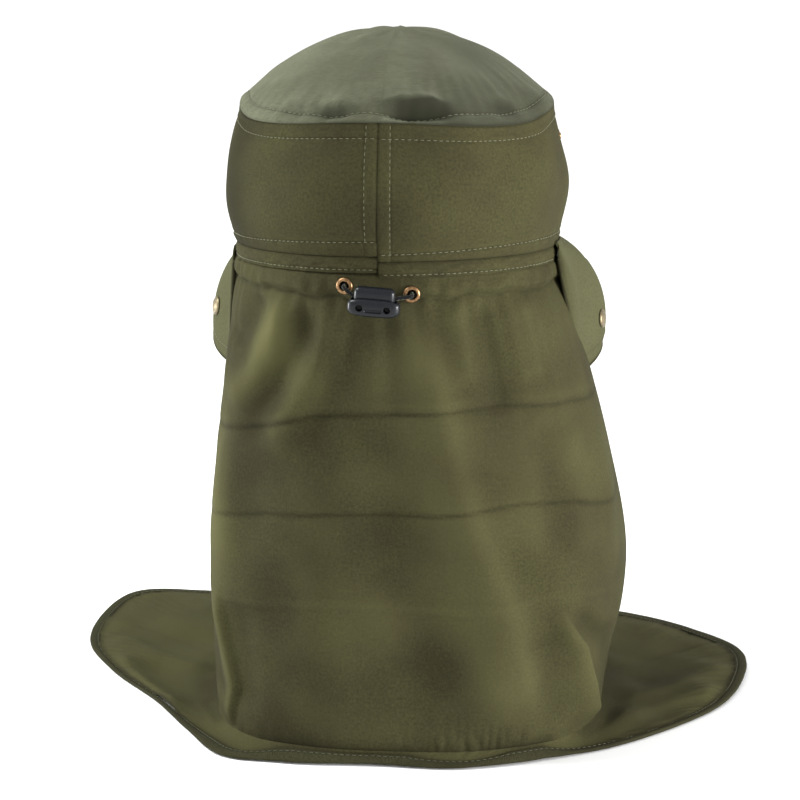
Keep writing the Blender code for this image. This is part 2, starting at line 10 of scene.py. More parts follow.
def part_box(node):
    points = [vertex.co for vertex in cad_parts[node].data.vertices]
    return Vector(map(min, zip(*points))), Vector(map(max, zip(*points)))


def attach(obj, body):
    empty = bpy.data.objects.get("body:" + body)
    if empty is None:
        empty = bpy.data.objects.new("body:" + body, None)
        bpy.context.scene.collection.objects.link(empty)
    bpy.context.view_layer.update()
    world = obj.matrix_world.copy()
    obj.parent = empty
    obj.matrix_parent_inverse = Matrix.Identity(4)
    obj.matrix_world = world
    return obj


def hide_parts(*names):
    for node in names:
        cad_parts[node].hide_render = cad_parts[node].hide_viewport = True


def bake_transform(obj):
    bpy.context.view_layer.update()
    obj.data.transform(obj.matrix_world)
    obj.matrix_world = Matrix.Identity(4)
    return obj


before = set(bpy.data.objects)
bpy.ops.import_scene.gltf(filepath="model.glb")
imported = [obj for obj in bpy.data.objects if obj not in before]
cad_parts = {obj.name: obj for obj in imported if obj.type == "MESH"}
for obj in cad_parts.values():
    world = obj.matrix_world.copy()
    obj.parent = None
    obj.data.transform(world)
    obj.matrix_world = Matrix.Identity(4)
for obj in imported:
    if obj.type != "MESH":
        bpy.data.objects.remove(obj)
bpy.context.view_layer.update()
MM = 0.001


def middle(node):
    """The middle of a CAD node's box."""
    low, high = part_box(node)
    return (low + high) / 2


# ------------------------------------------------------------------ sizes
# The CAD's own sizes come from the frame. Angles go round from the back to the wearer's left.
HAT_Y = middle("crown_top").y
HEAD_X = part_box("hem_band_left")[1].x - 0.9 * MM        # half the hat's width at its hem
HEAD_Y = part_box("hem_band_left")[1].y - HAT_Y - 0.9 * MM
HEM_RISE = 8.5 * MM           # how much higher the hem is at the back than at the sides
HEM_MEAN_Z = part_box("hem_band_left")[1].z - HEM_RISE
SEAM_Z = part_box("crown_side_left")[1].z
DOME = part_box("crown_top")[1].z - SEAM_Z - 1.4 * MM
FOOT_Z = 8 * MM               # where the hanging cloth turns outwards onto the surface
MESH_LOW_Z = middle("mesh_tape_lower").z
FLAP_EDGE = 112.0             # degrees from the back to the flap's front edges
BINDING_WIDTH = 9.0 * MM
BINDING_THICK = 2.2 * MM
BRIM_WIDTH = {1: 70.5 * MM, -1: 79.5 * MM}        # on the wearer's left, and on the right
BRIM_FRONT_WIDTH = 68.0 * MM
BRIM_ROOT = {1: -4.0 * MM, -1: 2.0 * MM}          # the root's height from the hem
BRIM_FRONT_ROOT = -4.0 * MM
BRIM_DROOP = {                # how steeply the brim hangs at its root and at its edge, in degrees
    1: {"rear": (79.0, 96.0), "side": (23.0, 100.0), "front": (12.0, 30.0)},
    -1: {"rear": (66.0, 94.0), "side": (22.0, 105.0), "front": (12.0, 30.0)},
}
SNAP_ANGLE = {1: 103.3, -1: 105.0}                # degrees from the back
SNAP_REACH = {1: 45.0 * MM, -1: 58.5 * MM}        # from the brim's root
LOCK_TILT = 4.0               # how far the cord lock leans, in degrees
CORD_HOLE_X = 7.6 * MM        # the lock's cord holes, from its middle
CORD_RADIUS = 1.2 * MM
LOCK_SIZE = (29.0 * MM, 12.4 * MM, 10.6 * MM)
PRESS_BAR = (22.6 * MM, 6.6 * MM, 10.0 * MM)
PRESS_BAR_Z = 6.1 * MM        # its middle above the lock's
EYELET_HOLE = 3.2 * MM        # the radius of the holes in the flap
STITCH_GAP = 1.0 * MM
THREAD_RADIUS = 0.23 * MM
SIDES = {"left": 1, "right": -1}                  # the wearer's left is towards +X
PINCH_Z = 264.5 * MM          # where the drawcord draws the flap in
CLOTH = 0.9 * MM              # the thickness of the cloth
SEAM_ROW = 7.6 * MM           # the side panels' stitches below the seam with the dome
BACK_ROW = 6.6 * MM           # the stitches beside the back seam
BAND_ROW = 7.6 * MM           # the hem band's stitches below the fold
DOME_ROW = 0.945              # the dome's stitches, as a share of the way from its middle
PANEL_TUCK = 0.009            # how far a panel goes on under the dome, as a share of its height
BRIM_ROWS = (5, 61)           # the brim's stitches, mm from its root
BRIM_EDGE = 1.15 * MM         # the radius of the brim's bound edge
BRIM_START = 82.62            # degrees from the back to the brim's rear end
BRIM_SEWN = 86.0              # and to the start of its stitches
TAPE_WIDTH = 10.0 * MM        # the tapes round the face mesh
TUCKED_IN = 2.2 * MM          # how far the cape goes in under its binding
CAMERA_AZIMUTH = 185.8        # the photograph's view
CAMERA_DISTANCE = 2.0
CAMERA_Z = 0.65
CAMERA_AIM_Z = 0.1845
CAMERA_LENS = 159.3

# The hanging cloth: height, half width on the wearer's left and right, half depth, in mm.
SKIRT = np.array([
    (0, 101, 119, 111), (8, 102, 120, 111), (25, 104, 124, 111), (50, 106, 129, 111),
    (85, 107, 132, 111.5), (120, 105.5, 130, 111), (155, 103, 124, 110), (200, 98.5, 112, 107),
    (240, 94, 100, 104), (262, 91.5, 93, 103), (286, 90.5, 90.5, 102.5),
    (300, 90.5, 90.5, 102.5),
]) * MM

# The cape's outline on each side of the wearer: degrees from the back, and mm sideways and
# backwards from the head's axis.
CAPE_OUTLINE = {
    1: np.array([
        (-25, -53, 113), (0, 0, 113.5), (25, 56, 113.5), (42, 93, 102), (55, 117, 60),
        (68, 142, 12), (85, 179, -46), (98, 202, -97), (110, 206, -145), (122, 195, -196),
        (138, 150, -213), (160, 72, -213), (180, 0, -213.5), (200, -70, -211),
    ]),
    -1: np.array([
        (-25, -56, 113.5), (0, 0, 113.5), (25, 53, 113), (42, 97, 92), (55, 134, 65),
        (68, 172, 19), (85, 199, -36), (98, 205.5, -92), (110, 197, -132), (122, 170, -167),
        (138, 130, -197), (160, 70, -211), (180, 0, -213.5), (200, -72, -213),
    ]),
}


# ------------------------------------------------------------------ small helpers
def smooth(t):
    """A soft step from 0 at 0 to 1 at 1."""
    t = np.clip(t, 0.0, 1.0)
    return t * t * (3 - 2 * t)


def mix(a, b, t):
    """From a at 0 to b at 1."""
    return a + (b - a) * t


def bell(x, centre, width):
    """1 at the centre, fading to 0 on both sides."""
    return np.exp(-((x - centre) / width) ** 2)


def through(table, column, x):
    """A smooth curve through a table's rows: its first column gives the place, another the value."""
    place, value = table[:, 0], table[:, column]
    slope = np.gradient(value, place)
    i = np.clip(np.searchsorted(place, x) - 1, 0, len(place) - 2)
    span = place[i + 1] - place[i]
    t = np.clip((x - place[i]) / span, 0, 1)
    return ((2 * t ** 3 - 3 * t ** 2 + 1) * value[i] + (t ** 3 - 2 * t ** 2 + t) * span * slope[i]
            + (3 * t ** 2 - 2 * t ** 3) * value[i + 1] + (t ** 3 - t ** 2) * span * slope[i + 1])


def uneven(x, y, size, seed):
    """Smooth unevenness from -1 to 1, with lumps of about a size."""
    random = np.random.default_rng(seed)
    total = 0.0
    for _ in range(9):
        turn, phase = random.uniform(0, 2 * math.pi, 2)
        pitch = 2 * math.pi / (size * random.uniform(0.7, 1.6))
        total = total + np.sin((x * math.cos(turn) + y * math.sin(turn)) * pitch + phase)
    return total / 4.5


def turn_degrees(a):
    """Degrees from the back, from -180 to 180."""
    return (np.degrees(a) + 180) % 360 - 180


def unit(v):
    """Vectors brought to length 1."""
    return v / np.maximum(np.linalg.norm(v, axis=-1, keepdims=True), 1e-12)


def stack(*parts):
    """Points, or pairs of numbers, from their parts."""
    return np.stack(np.broadcast_arrays(*parts), axis=-1)


def grid(down, across):
    """The two coordinates of a grid's points."""
    return np.meshgrid(down, across, indexing="ij")


def tube_faces(rings, sides):
    """The faces between rings of points that follow each other."""
    faces = []
    for low in range(0, (rings - 1) * sides, sides):
        high = low + sides
        for k in range(sides):
            n = (k + 1) % sides
            faces.append((low + k, low + n, high + n, high + k))
    return faces


def normals_of(rows, closed):
    """Unit normals of a grid of points, pointing away from the head's axis or up."""
    if closed:
        across = np.roll(rows, -1, 1) - np.roll(rows, 1, 1)
    else:
        across = np.gradient(rows, axis=1)
    down = np.gradient(rows, axis=0)
    n = unit(np.cross(down, across))
    away = rows - np.array([0, HAT_Y, -0.3])
    flip = np.sign(np.median(np.sum(n * away, axis=-1)))
    return n * flip


def lengths(rows, axis):
    """How far each point of a path or grid is along it."""
    step = np.linalg.norm(np.diff(rows, axis=axis), axis=-1)
    start = np.zeros_like(np.take(step, [0], axis=axis))
    return np.concatenate([start, np.cumsum(step, axis=axis)], axis=axis)


def plain_object(name, points, faces, material, sharp):
    """A mesh with smooth shading, except at edges sharper than some degrees."""
    mesh = bpy.data.meshes.new(name)
    mesh.from_pydata([tuple(p) for p in points], [], [tuple(f) for f in faces])
    mesh.update()
    mesh.shade_smooth()
    mesh.set_sharp_from_angle(angle=math.radians(sharp))
    mesh.materials.append(material)
    obj = bpy.data.objects.new(name, mesh)
    bpy.context.scene.collection.objects.link(obj)
    return obj


def give_weave(obj, flat, tone):
    """A UV map in metres for the weave, and each point's painted shade (above zero) and painted light
    (below zero), with some random tone.
    """
    mesh = obj.data
    corners = np.zeros(len(mesh.loops), np.int32)
    mesh.loops.foreach_get("vertex_index", corners)
    uv = mesh.uv_layers.new(name="cloth")
    uv.data.foreach_set("uv", flat[corners].astype(np.float32).ravel())
    painted_light_shade_and_tone = mesh.attributes.new("painted_light_shade_and_tone", "FLOAT", "POINT")
    painted_light_shade_and_tone.data.foreach_set("value", np.asarray(tone, np.float32).ravel())


def cloth_object(name, rows, material, thickness=CLOTH, closed=False, cap=False, dark=0.0):
    """A closed sheet of cloth through a grid of points; with no thickness, a single layer."""
    m, n = rows.shape[:2]
    normal = normals_of(rows, closed)
    lifts = (thickness / 2, -thickness / 2) if thickness else (0.0,)
    layers = [rows + normal * lift for lift in lifts]
    points = np.concatenate([layer.reshape(-1, 3) for layer in layers])
    index = np.arange(m * n).reshape(m, n)
    if closed:
        index = np.concatenate([index, index[:, :1]], axis=1)
    quad = np.stack([index[:-1, :-1], index[1:, :-1], index[1:, 1:], index[:-1, 1:]], axis=-1)
    quad = quad.reshape(-1, 4)
    corner = rows.reshape(-1, 3)[quad[:, :3]]
    turned_to = np.cross(corner[:, 1] - corner[:, 0], corner[:, 2] - corner[:, 0])
    backwards = np.median(np.sum(turned_to * normal.reshape(-1, 3)[quad[:, 0]], axis=-1)) < 0
    if backwards:
        quad = quad[:, ::-1]
    faces = quad.tolist()
    if thickness:
        faces += (quad[:, ::-1] + m * n).tolist()
        borders = [index[-1][::-1]] if cap else [index[0], index[-1][::-1]]
        if not closed:
            borders += [index[:, -1], index[:, 0][::-1]]
        for border in borders:
            for a, b in zip(border[:-1], border[1:]):
                side = (a, b, b + m * n, a + m * n)
                faces.append(side if backwards else side[::-1])
    if cap:
        for layer in range(len(layers)):
            centre = len(points)
            ring = index[0] + layer * m * n
            points = np.concatenate([points, points[ring[:-1]].mean(0, keepdims=True)])
            for a, b in zip(ring[:-1], ring[1:]):
                fan = (centre, a, b)
                faces.append(fan if (layer == 0) != backwards else fan[::-1])
    obj = plain_object(name, points, faces, material, 60)
    u, v = lengths(rows, 1), lengths(rows, 0)
    u = u - u[:, n // 2:n // 2 + 1]
    flat = np.stack([u, v], axis=-1).reshape(-1, 2)
    # dark: each point's painted shade, and painted light where it is below zero
    tone = np.broadcast_to(dark, (m, n)).ravel()
    centres = len(points) - len(layers) * m * n
    give_weave(obj, np.concatenate([flat] * len(layers) + [np.zeros((centres, 2))]),
               np.concatenate([tone] * len(layers) + [np.zeros(centres)]))
    return obj


def stitches(name, lines, material, length=2.5 * MM):
    """Rows of stitches: each line is its points and the cloth's outward normals there."""
    points, faces = [], []
    sides = 5

    def value(table, at):
        return np.array([np.interp(at, along, table[:, k]) for k in range(3)])

    for path, outward in lines:
        along = lengths(path, 0)
        count = max(1, int(along[-1] / (length + STITCH_GAP)))
        starts = np.linspace(0, along[-1] - length, count) if count > 1 else np.array([0.0])
        for start in starts:
            rings = []
            for share, size in ((0.0, 0.35), (0.25, 1.0), (0.75, 1.0), (1.0, 0.35)):
                at = start + share * length
                centre, up = value(path, at), unit(value(outward, at))
                ahead = value(path, at + 0.1 * MM) - value(path, at - 0.1 * MM)
                across = unit(np.cross(up, ahead))
                rings.append(len(points))
                rise = THREAD_RADIUS * (0.55 if size == 1.0 else -0.6)
                for i in range(sides):
                    turn = 2 * math.pi * i / sides
                    offset = across * math.cos(turn) + up * math.sin(turn)
                    points.append(centre + up * rise + offset * THREAD_RADIUS * size)
            for a, b in zip(rings[:-1], rings[1:]):
                for i in range(sides):
                    k = (i + 1) % sides
                    faces.append((a + i, b + i, b + k, a + k))
            faces.append(tuple(rings[0] + i for i in range(sides)))
            faces.append(tuple(rings[-1] + i for i in reversed(range(sides))))
    return plain_object(name, points, faces, material, 80)


def pipe(name, path, radius, material, sides):
    """A round tube along a path, with a UV map in metres."""
    path = np.asarray(path, float)
    ahead = unit(np.gradient(path, axis=0))
    up = np.zeros_like(path)
    guide = np.array([0.0, 0.0, 1.0]) if abs(ahead[0][2]) < 0.9 else np.array([0.0, 1.0, 0.0])
    for i, direction in enumerate(ahead):
        guide = unit(guide - direction * guide.dot(direction))
        up[i] = guide
    across = np.cross(ahead, up)
    turn = 2 * np.pi * np.arange(sides) / sides
    rings = (path[:, None] + across[:, None] * (radius * np.cos(turn))[None, :, None]
             + up[:, None] * (radius * np.sin(turn))[None, :, None])
    faces = tube_faces(len(path), sides)
    faces.append(tuple(reversed(range(sides))))
    faces.append(tuple((len(path) - 1) * sides + k for k in range(sides)))
    tube = plain_object(name, rings.reshape(-1, 3), faces, material, 60)
    flat = stack(lengths(path, 0)[:, None], np.arange(sides)[None, :] * 0.6 * MM)
    give_weave(tube, flat.reshape(-1, 2), np.zeros(len(path) * sides))
    return tube


def facing(place, normal):
    """The matrix that stands a piece at a place, its Z along a normal."""
    return Matrix.Translation(place) @ normal.to_track_quat("Z", "Y").to_matrix().to_4x4()


def turned(name, profile, place, normal, material):
    """A piece turned about a normal, from a closed profile of (radius, height) points in mm."""
    sides = 56
    shift = zip(profile, profile[1:] + profile[:1])
    if sum(a[0] * b[1] - b[0] * a[1] for a, b in shift) < 0:
        profile = profile[::-1]
    points, rings = [], []
    for radius, height in profile:
        if radius == 0:
            rings.append([len(points)] * sides)
            points.append((0.0, 0.0, height * MM))
            continue
        rings.append(list(range(len(points), len(points) + sides)))
        for i in range(sides):
            turn = 2 * math.pi * i / sides
            points.append((radius * MM * math.cos(turn), radius * MM * math.sin(turn), height * MM))
    faces = []
    for low, high in zip(rings, rings[1:] + rings[:1]):
        for i in range(sides):
            k = (i + 1) % sides
            face = [low[i], low[k], high[k], high[i]]
            face = [c for j, c in enumerate(face) if c not in face[:j]]
            if len(face) > 2:
                faces.append(face)
    obj = plain_object(name, points, faces, material, 50)
    obj.matrix_world = facing(place, normal)
    return obj


def modify(obj, kind, **settings):
    """Apply one modifier to an object."""
    change = obj.modifiers.new("change", kind)
    for key, value in settings.items():
        setattr(change, key, value)
    bpy.context.view_layer.objects.active = obj
    bpy.ops.object.modifier_apply(modifier=change.name)


def cut(obj, tool):
    """Cut a tool's shape out of an object, and remove the tool."""
    modify(obj, "BOOLEAN", operation="DIFFERENCE", object=tool)
    bpy.data.objects.remove(tool)


# ------------------------------------------------------------------ materials
class Nodes:
    """A material's node tree, with short ways to add to it."""

    def __init__(self, name, **settings):
        self.material = bpy.data.materials.new(name)
        self.material.use_nodes = True
        self.tree = self.material.node_tree
        self.shader = self.tree.nodes["Principled BSDF"]
        for socket, value in settings.items():
            self.shader.inputs[socket.replace("_", " ")].default_value = value

    def add(self, kind, **settings):
        node = self.tree.nodes.new(kind)
        for key, value in settings.items():
            setattr(node, key, value)
        return node

    def link(self, output, target):
        self.tree.links.new(output, target)

    def put(self, socket, value):
        """Give an input a number, a colour or another node's output."""
        if isinstance(value, tuple):
            socket.default_value = (*value, 1.0)
        elif isinstance(value, (int, float)):
            socket.default_value = value
        else:
            self.link(value, socket)

    def math(self, operation, a, b=0.0):
        node = self.add("ShaderNodeMath", operation=operation)
        self.put(node.inputs[0], a)
        self.put(node.inputs[1], b)
        return node.outputs[0]

    def blend(self, share, a, b):
        node = self.add("ShaderNodeMix", data_type="RGBA")
        for i, value in ((0, share), (6, a), (7, b)):
            self.put(node.inputs[i], value)
        return node.outputs[2]

    def noise(self, scale, detail, vector, rough=0.5):
        node = self.add("ShaderNodeTexNoise")
        self.put(node.inputs["Scale"], scale)
        self.put(node.inputs["Detail"], detail)
        self.put(node.inputs["Roughness"], rough)
        self.link(vector, node.inputs["Vector"])
        return node.outputs["Fac"]

    def ramp(self, value, low, high, start=0.0, end=1.0):
        node = self.add("ShaderNodeMapRange")
        self.link(value, node.inputs[0])
        for socket, number in zip(node.inputs[1:5], (low, high, start, end)):
            self.put(socket, number)
        return node.outputs[0]

    def bump(self, height, strength, distance, before=None):
        node = self.add("ShaderNodeBump")
        self.put(node.inputs["Strength"], strength)
        self.put(node.inputs["Distance"], distance)
        self.link(height, node.inputs["Height"])
        if before is not None:
            self.link(before, node.inputs["Normal"])
        return node.outputs["Normal"]


def weave(nodes, pitch, twill):
    """A plain weave's height, from the UV map in metres, and that map."""
    uv = nodes.add("ShaderNodeUVMap", uv_map="cloth").outputs[0]
    split = nodes.add("ShaderNodeSeparateXYZ")
    nodes.link(uv, split.inputs[0])
    turn = 2 * math.pi / pitch
    a = nodes.math("SINE", nodes.math("MULTIPLY", split.outputs[0], turn))
    b = nodes.math("SINE", nodes.math("MULTIPLY", split.outputs[1], turn))
    height = nodes.math("MULTIPLY", a, b)
    if twill:
        slant = nodes.math("ADD", split.outputs[0], split.outputs[1])
        rib = nodes.math("SINE", nodes.math("MULTIPLY", slant, turn * 0.7))
        height = nodes.math("ADD", height, nodes.math("MULTIPLY", rib, twill))
    return height, uv


def cloth_material(name, colour, light, sheen, pitch=0.75 * MM, twill=0.0, strength=0.5):
    """Woven cloth: threads, slubs and broad fading, darkened by painted shade in creases and the weave's
    hollows and paled by painted light on ridges and lit patches.
    """
    nodes = Nodes(name, Roughness=0.82, Sheen_Weight=sheen, Sheen_Roughness=0.35,
                  Sheen_Tint=(0.80, 0.84, 0.62, 1.0), Specular_IOR_Level=0.03)
    height, uv = weave(nodes, pitch, twill)
    stretch = nodes.add("ShaderNodeMapping")
    stretch.inputs["Scale"].default_value = (3.0, 0.6, 1.0)
    nodes.link(uv, stretch.inputs["Vector"])
    slub = nodes.noise(420.0, 3.0, stretch.outputs[0])
    mottle = nodes.noise(620.0, 3.0, uv, 0.75)
    broad = nodes.noise(14.0, 4.0, uv, 0.6)
    base = nodes.blend(nodes.ramp(broad, 0.38, 0.62), colour, light)
    dark_thread = tuple(c * 0.5 for c in colour)
    base = nodes.blend(nodes.ramp(mottle, 0.32, 0.66, 0.7, 0.0), base, dark_thread)
    base = nodes.blend(nodes.ramp(slub, 0.55, 0.8, 0.0, 0.35), base, tuple(c * 1.3 for c in light))
    # painted shade: the weave's low places are darkened
    base = nodes.blend(nodes.ramp(height, -1.0, 1.0, 0.22, 0.0), base, dark_thread)
    painted_light_shade_and_tone = nodes.add("ShaderNodeAttribute", attribute_name="painted_light_shade_and_tone").outputs["Fac"]
    # the attribute's painted shade darkens the colour, and its painted light pales it
    painted_shade_colour = nodes.blend(nodes.ramp(painted_light_shade_and_tone, 0.0, 1.0), base, tuple(c * 0.28 for c in colour))
    painted_light_colour = nodes.blend(nodes.ramp(painted_light_shade_and_tone, 0.0, -1.0), painted_shade_colour, tuple(c * 1.5 for c in light))
    nodes.link(painted_light_colour, nodes.shader.inputs["Base Color"])
    rough = nodes.ramp(mottle, 0.2, 0.8, 0.72, 0.92)
    nodes.link(rough, nodes.shader.inputs["Roughness"])
    fine = nodes.bump(height, strength, 0.12 * MM)
    soft = nodes.bump(nodes.noise(260.0, 4.0, uv, 0.6), 0.35, 0.35 * MM, fine)
    nodes.link(soft, nodes.shader.inputs["Normal"])
    return nodes.material


def net_material():
    """Fine black net: hexagon-like holes cut by the shader's alpha."""
    nodes = Nodes("net", Roughness=0.55, Sheen_Weight=0.2, Base_Color=(0.012, 0.012, 0.012, 1))
    uv = nodes.add("ShaderNodeUVMap", uv_map="cloth").outputs[0]
    cells = nodes.add("ShaderNodeTexVoronoi", feature="DISTANCE_TO_EDGE")
    cells.inputs["Scale"].default_value = 1 / (1.7 * MM)
    cells.inputs["Randomness"].default_value = 0.12
    slant = nodes.add("ShaderNodeMapping")
    slant.inputs["Rotation"].default_value = (0.0, 0.0, math.radians(45))
    nodes.link(uv, slant.inputs["Vector"])
    nodes.link(slant.outputs[0], cells.inputs["Vector"])
    thread = nodes.ramp(cells.outputs["Distance"], 0.13, 0.17, 1.0, 0.0)
    nodes.link(thread, nodes.shader.inputs["Alpha"])
    tint = nodes.blend(nodes.noise(300.0, 2.0, uv), (0.009, 0.009, 0.01), (0.022, 0.022, 0.022))
    nodes.link(tint, nodes.shader.inputs["Base Color"])
    return nodes.material


def grain_material(name, dark, light, roughness, scale, metallic=0.0, bump=0.15, **settings):
    """Metal, plastic or thread: a mottled colour, uneven gloss and a fine grain."""
    nodes = Nodes(name, Roughness=roughness, Metallic=metallic, **settings)
    place = nodes.add("ShaderNodeTexCoord").outputs["Object"]
    broad = nodes.noise(scale, 4.0, place, 0.6)
    fine = nodes.noise(scale * 7, 3.0, place, 0.6)
    base = nodes.blend(nodes.ramp(broad, 0.35, 0.65), dark, light)
    nodes.link(base, nodes.shader.inputs["Base Color"])
    nodes.link(nodes.ramp(fine, 0.3, 0.7, roughness - 0.08, roughness + 0.12),
               nodes.shader.inputs["Roughness"])
    nodes.link(nodes.bump(fine, bump, 0.05 * MM), nodes.shader.inputs["Normal"])
    return nodes.material


OLIVE = cloth_material("olive_cloth", (0.038, 0.0342, 0.0168), (0.054, 0.0518, 0.0218), sheen=0.01)
# Painted light: the crown's cloth is a paler, greyer copy of the olive cloth, as lit by the light from
# above and its sheen.
PAINTED_LIT_CROWN = cloth_material("crown_cloth", (0.094, 0.0960, 0.0620), (0.121, 0.127, 0.084), sheen=0.10)
BRIM = cloth_material("brim_cloth", (0.060, 0.059, 0.028), (0.078, 0.077, 0.038), sheen=0.03)
LINING = cloth_material("lining_cloth", (0.030, 0.028, 0.014), (0.040, 0.038, 0.018), sheen=0.02)
BINDING = cloth_material("binding_tape", (0.035, 0.0330, 0.0172), (0.047, 0.0455, 0.0232),
                         sheen=0.01, pitch=1.1 * MM, twill=0.8, strength=0.8)
NET = net_material()
DARK_THREAD = grain_material("dark_thread", (0.045, 0.045, 0.023), (0.065, 0.065, 0.034), 0.8, 700.0)
THREAD = grain_material("thread", (0.085, 0.085, 0.046), (0.125, 0.125, 0.072), 0.7, 700.0)
CORD = cloth_material("elastic_cord", (0.012, 0.012, 0.013), (0.022, 0.022, 0.022),
                      sheen=0.25, pitch=1.0 * MM, twill=1.0, strength=1.0)
PLASTIC = grain_material("lock_plastic", (0.004, 0.0045, 0.006), (0.007, 0.008, 0.010), 0.28,
                         900.0, bump=0.06, Specular_IOR_Level=0.22)
BRASS = grain_material("antique_brass", (0.13, 0.070, 0.034), (0.30, 0.18, 0.09), 0.36, 800.0, 1.0)
PALE_BRASS = grain_material("worn_brass", (0.12, 0.095, 0.052), (0.20, 0.165, 0.10), 0.42, 700.0, 0.8)
STEEL = grain_material("spring_steel", (0.42, 0.42, 0.42), (0.6, 0.6, 0.6), 0.26, 900.0, 1.0)


# ------------------------------------------------------------------ shapes shared by pieces
def hem_z(a):
    """The height of the hat's hem, which rises at the back."""
    return HEM_MEAN_Z + HEM_RISE * np.cos(a)


def hat_point(a, outward, z):
    """A point on the hat's oval, widened by a distance outwards."""
    return stack((HEAD_X + outward) * np.sin(a), HAT_Y + (HEAD_Y + outward) * np.cos(a), z)


def hat_outward(a):
    """The level direction square to the hat's oval."""
    return unit(stack(np.sin(a) * HEAD_Y, np.cos(a) * HEAD_X, 0 * a))


def crown_swell(share):
    """How far the crown stands out from the hem: share is the way up its side panels."""
    rise = np.sin(np.pi * np.minimum(1.0, share * 1.06))
    return 6.6 * MM * np.maximum(rise, 0) ** 0.9 - 2.2 * MM * share ** 3


def skirt_point(a, z):
    """A point on the tube of cloth that hangs from the hat."""
    power = mix(2.0, 2.7, smooth((HEM_MEAN_Z - z) / (200 * MM)))
    s, c = np.sin(a), np.cos(a)
    wide = np.where(s > 0, through(SKIRT, 1, z), through(SKIRT, 2, z))
    x = np.sign(s) * np.abs(s) ** (2 / power) * wide
    y = np.sign(c) * np.abs(c) ** (2 / power) * through(SKIRT, 3, z)
    return stack(x, HAT_Y + y, z)


def cape_edge(a):
    """The cape's outer edge, lifted off the surface a little on each side."""
    degrees = np.abs(turn_degrees(a))
    left, right = CAPE_OUTLINE[1], CAPE_OUTLINE[-1]
    on_left = np.sin(a) >= 0
    x = np.where(on_left, through(left, 1, degrees), -through(right, 1, degrees)) * MM
    y = np.where(on_left, through(left, 2, degrees), through(right, 2, degrees)) * MM
    lift = 4.0 * MM * bell(np.degrees(a), 126, 16) + 2.0 * MM * bell(np.degrees(a), -96, 14)
    return stack(x, HAT_Y + y, BINDING_THICK / 2 + lift)


def seam_z(a):
    """The height of the seam round the crown: higher at the back, lower beside it."""
    return SEAM_Z + 3.0 * MM * np.cos(3 * a) * (1 - smooth((np.abs(turn_degrees(a)) - 62) / 30))


def foot_point(a):
    """Where the hanging cloth ends and the cape begins."""
    return skirt_point(a, FOOT_Z + 0 * a)


def cape_slant(a):
    """The distance from the hanging cloth's foot to the cape's edge."""
    return np.linalg.norm(cape_edge(a) - foot_point(a), axis=-1)


def cape_reach(a):
    """The same distance, seen from above."""
    return np.linalg.norm((cape_edge(a) - foot_point(a))[..., :2], axis=-1)


def narrow_cape(a):
    """1 where the hanging cloth comes down close to the cape's edge, and 0 elsewhere."""
    return 1 - smooth((cape_reach(a) - 8 * MM) / (18 * MM))


def flare_point(a, share):
    """The turned-out cloth, from its foot at 0 to the cape's edge at 1."""
    foot, edge = foot_point(a), cape_edge(a)
    bend = 1 + 5.0 * smooth(cape_reach(a) / (50 * MM))
    flat = foot + (edge - foot) * share[..., None]
    flat[..., 2] = mix(edge[..., 2], foot[..., 2], (1 - share) ** bend)
    return flat


def binding_share(a):
    """Where the binding's inner edge is, on the way from the foot to the cape's edge."""
    return 1 - BINDING_WIDTH / np.maximum(cape_slant(a), BINDING_WIDTH * 1.3)


def covered_share(a):
    """Where the cape's cloth ends, a little way in under the binding."""
    return binding_share(a) + TUCKED_IN / np.maximum(cape_slant(a), 12 * MM)


def near_line(x, z, points):
    """How far each place is from a bent line, its share of the way along it, and its side."""
    best = np.full(np.shape(x), 9.0)
    share, side = np.zeros(np.shape(x)), np.zeros(np.shape(x))
    points = np.array(points, float) * MM
    steps = np.linalg.norm(np.diff(points, axis=0), axis=1)
    total, done = steps.sum(), 0.0
    for (ax, az), (bx, bz), step in zip(points[:-1], points[1:], steps):
        ux, uz = (bx - ax) / step, (bz - az) / step
        t = np.clip((x - ax) * ux + (z - az) * uz, 0, step)
        dx, dz = x - ax - t * ux, z - az - t * uz
        distance = np.hypot(dx, dz)
        closer = distance < best
        best = np.where(closer, distance, best)
        share = np.where(closer, (done + t) / total, share)
        side = np.where(closer, np.sign(ux * dz - uz * dx), side)
        done += step
    return best, share, side


def fold(x, z, points, width, height, sharp=0.0):
    """A soft ridge or hollow along a line; sharp makes one of its flanks steep."""
    distance, share, side = near_line(x, z, points)
    fade = smooth(share * 5) * smooth((1 - share) * 5)
    flank = np.where(side > 0, width * MM, width * MM * (1 - sharp))
    return height * MM * np.exp(-(distance / flank) ** 2) * fade


# ------------------------------------------------------------------ crown
def dome_point(a, share):
    """The plain dome, from its middle at 0 to its rim at 1."""
    z = SEAM_Z + 0.3 * MM + (DOME + 0.7 * MM) * (1 - share ** 2.1) ** 0.92
    z = z + (seam_z(a) - SEAM_Z) * share ** 6
    rim = hat_point(a, crown_swell(1.0) + 0.5 * MM, z)
    centre = stack(0 * a, HAT_Y + 0 * a, z)
    return centre + (rim - centre) * share[..., None]


DOME_DENTS = [  # degrees from the back, half width, crest's share, how far out and how far in
    (-13.5, 13.5, 0.86, 3.4, 6.0), (17.0, 8.5, 0.90, 2.2, 4.6), (34.0, 9.0, 0.90, 1.2, 1.6),
    (-52.0, 7.0, 0.90, 1.2, 2.0),
]


def dent_spread(a, centre, width):
    """How much of a dent is at an angle: 1 across its middle and 0 beside it."""
    return np.exp(-np.abs((turn_degrees(a) - centre) / width) ** 2.6)


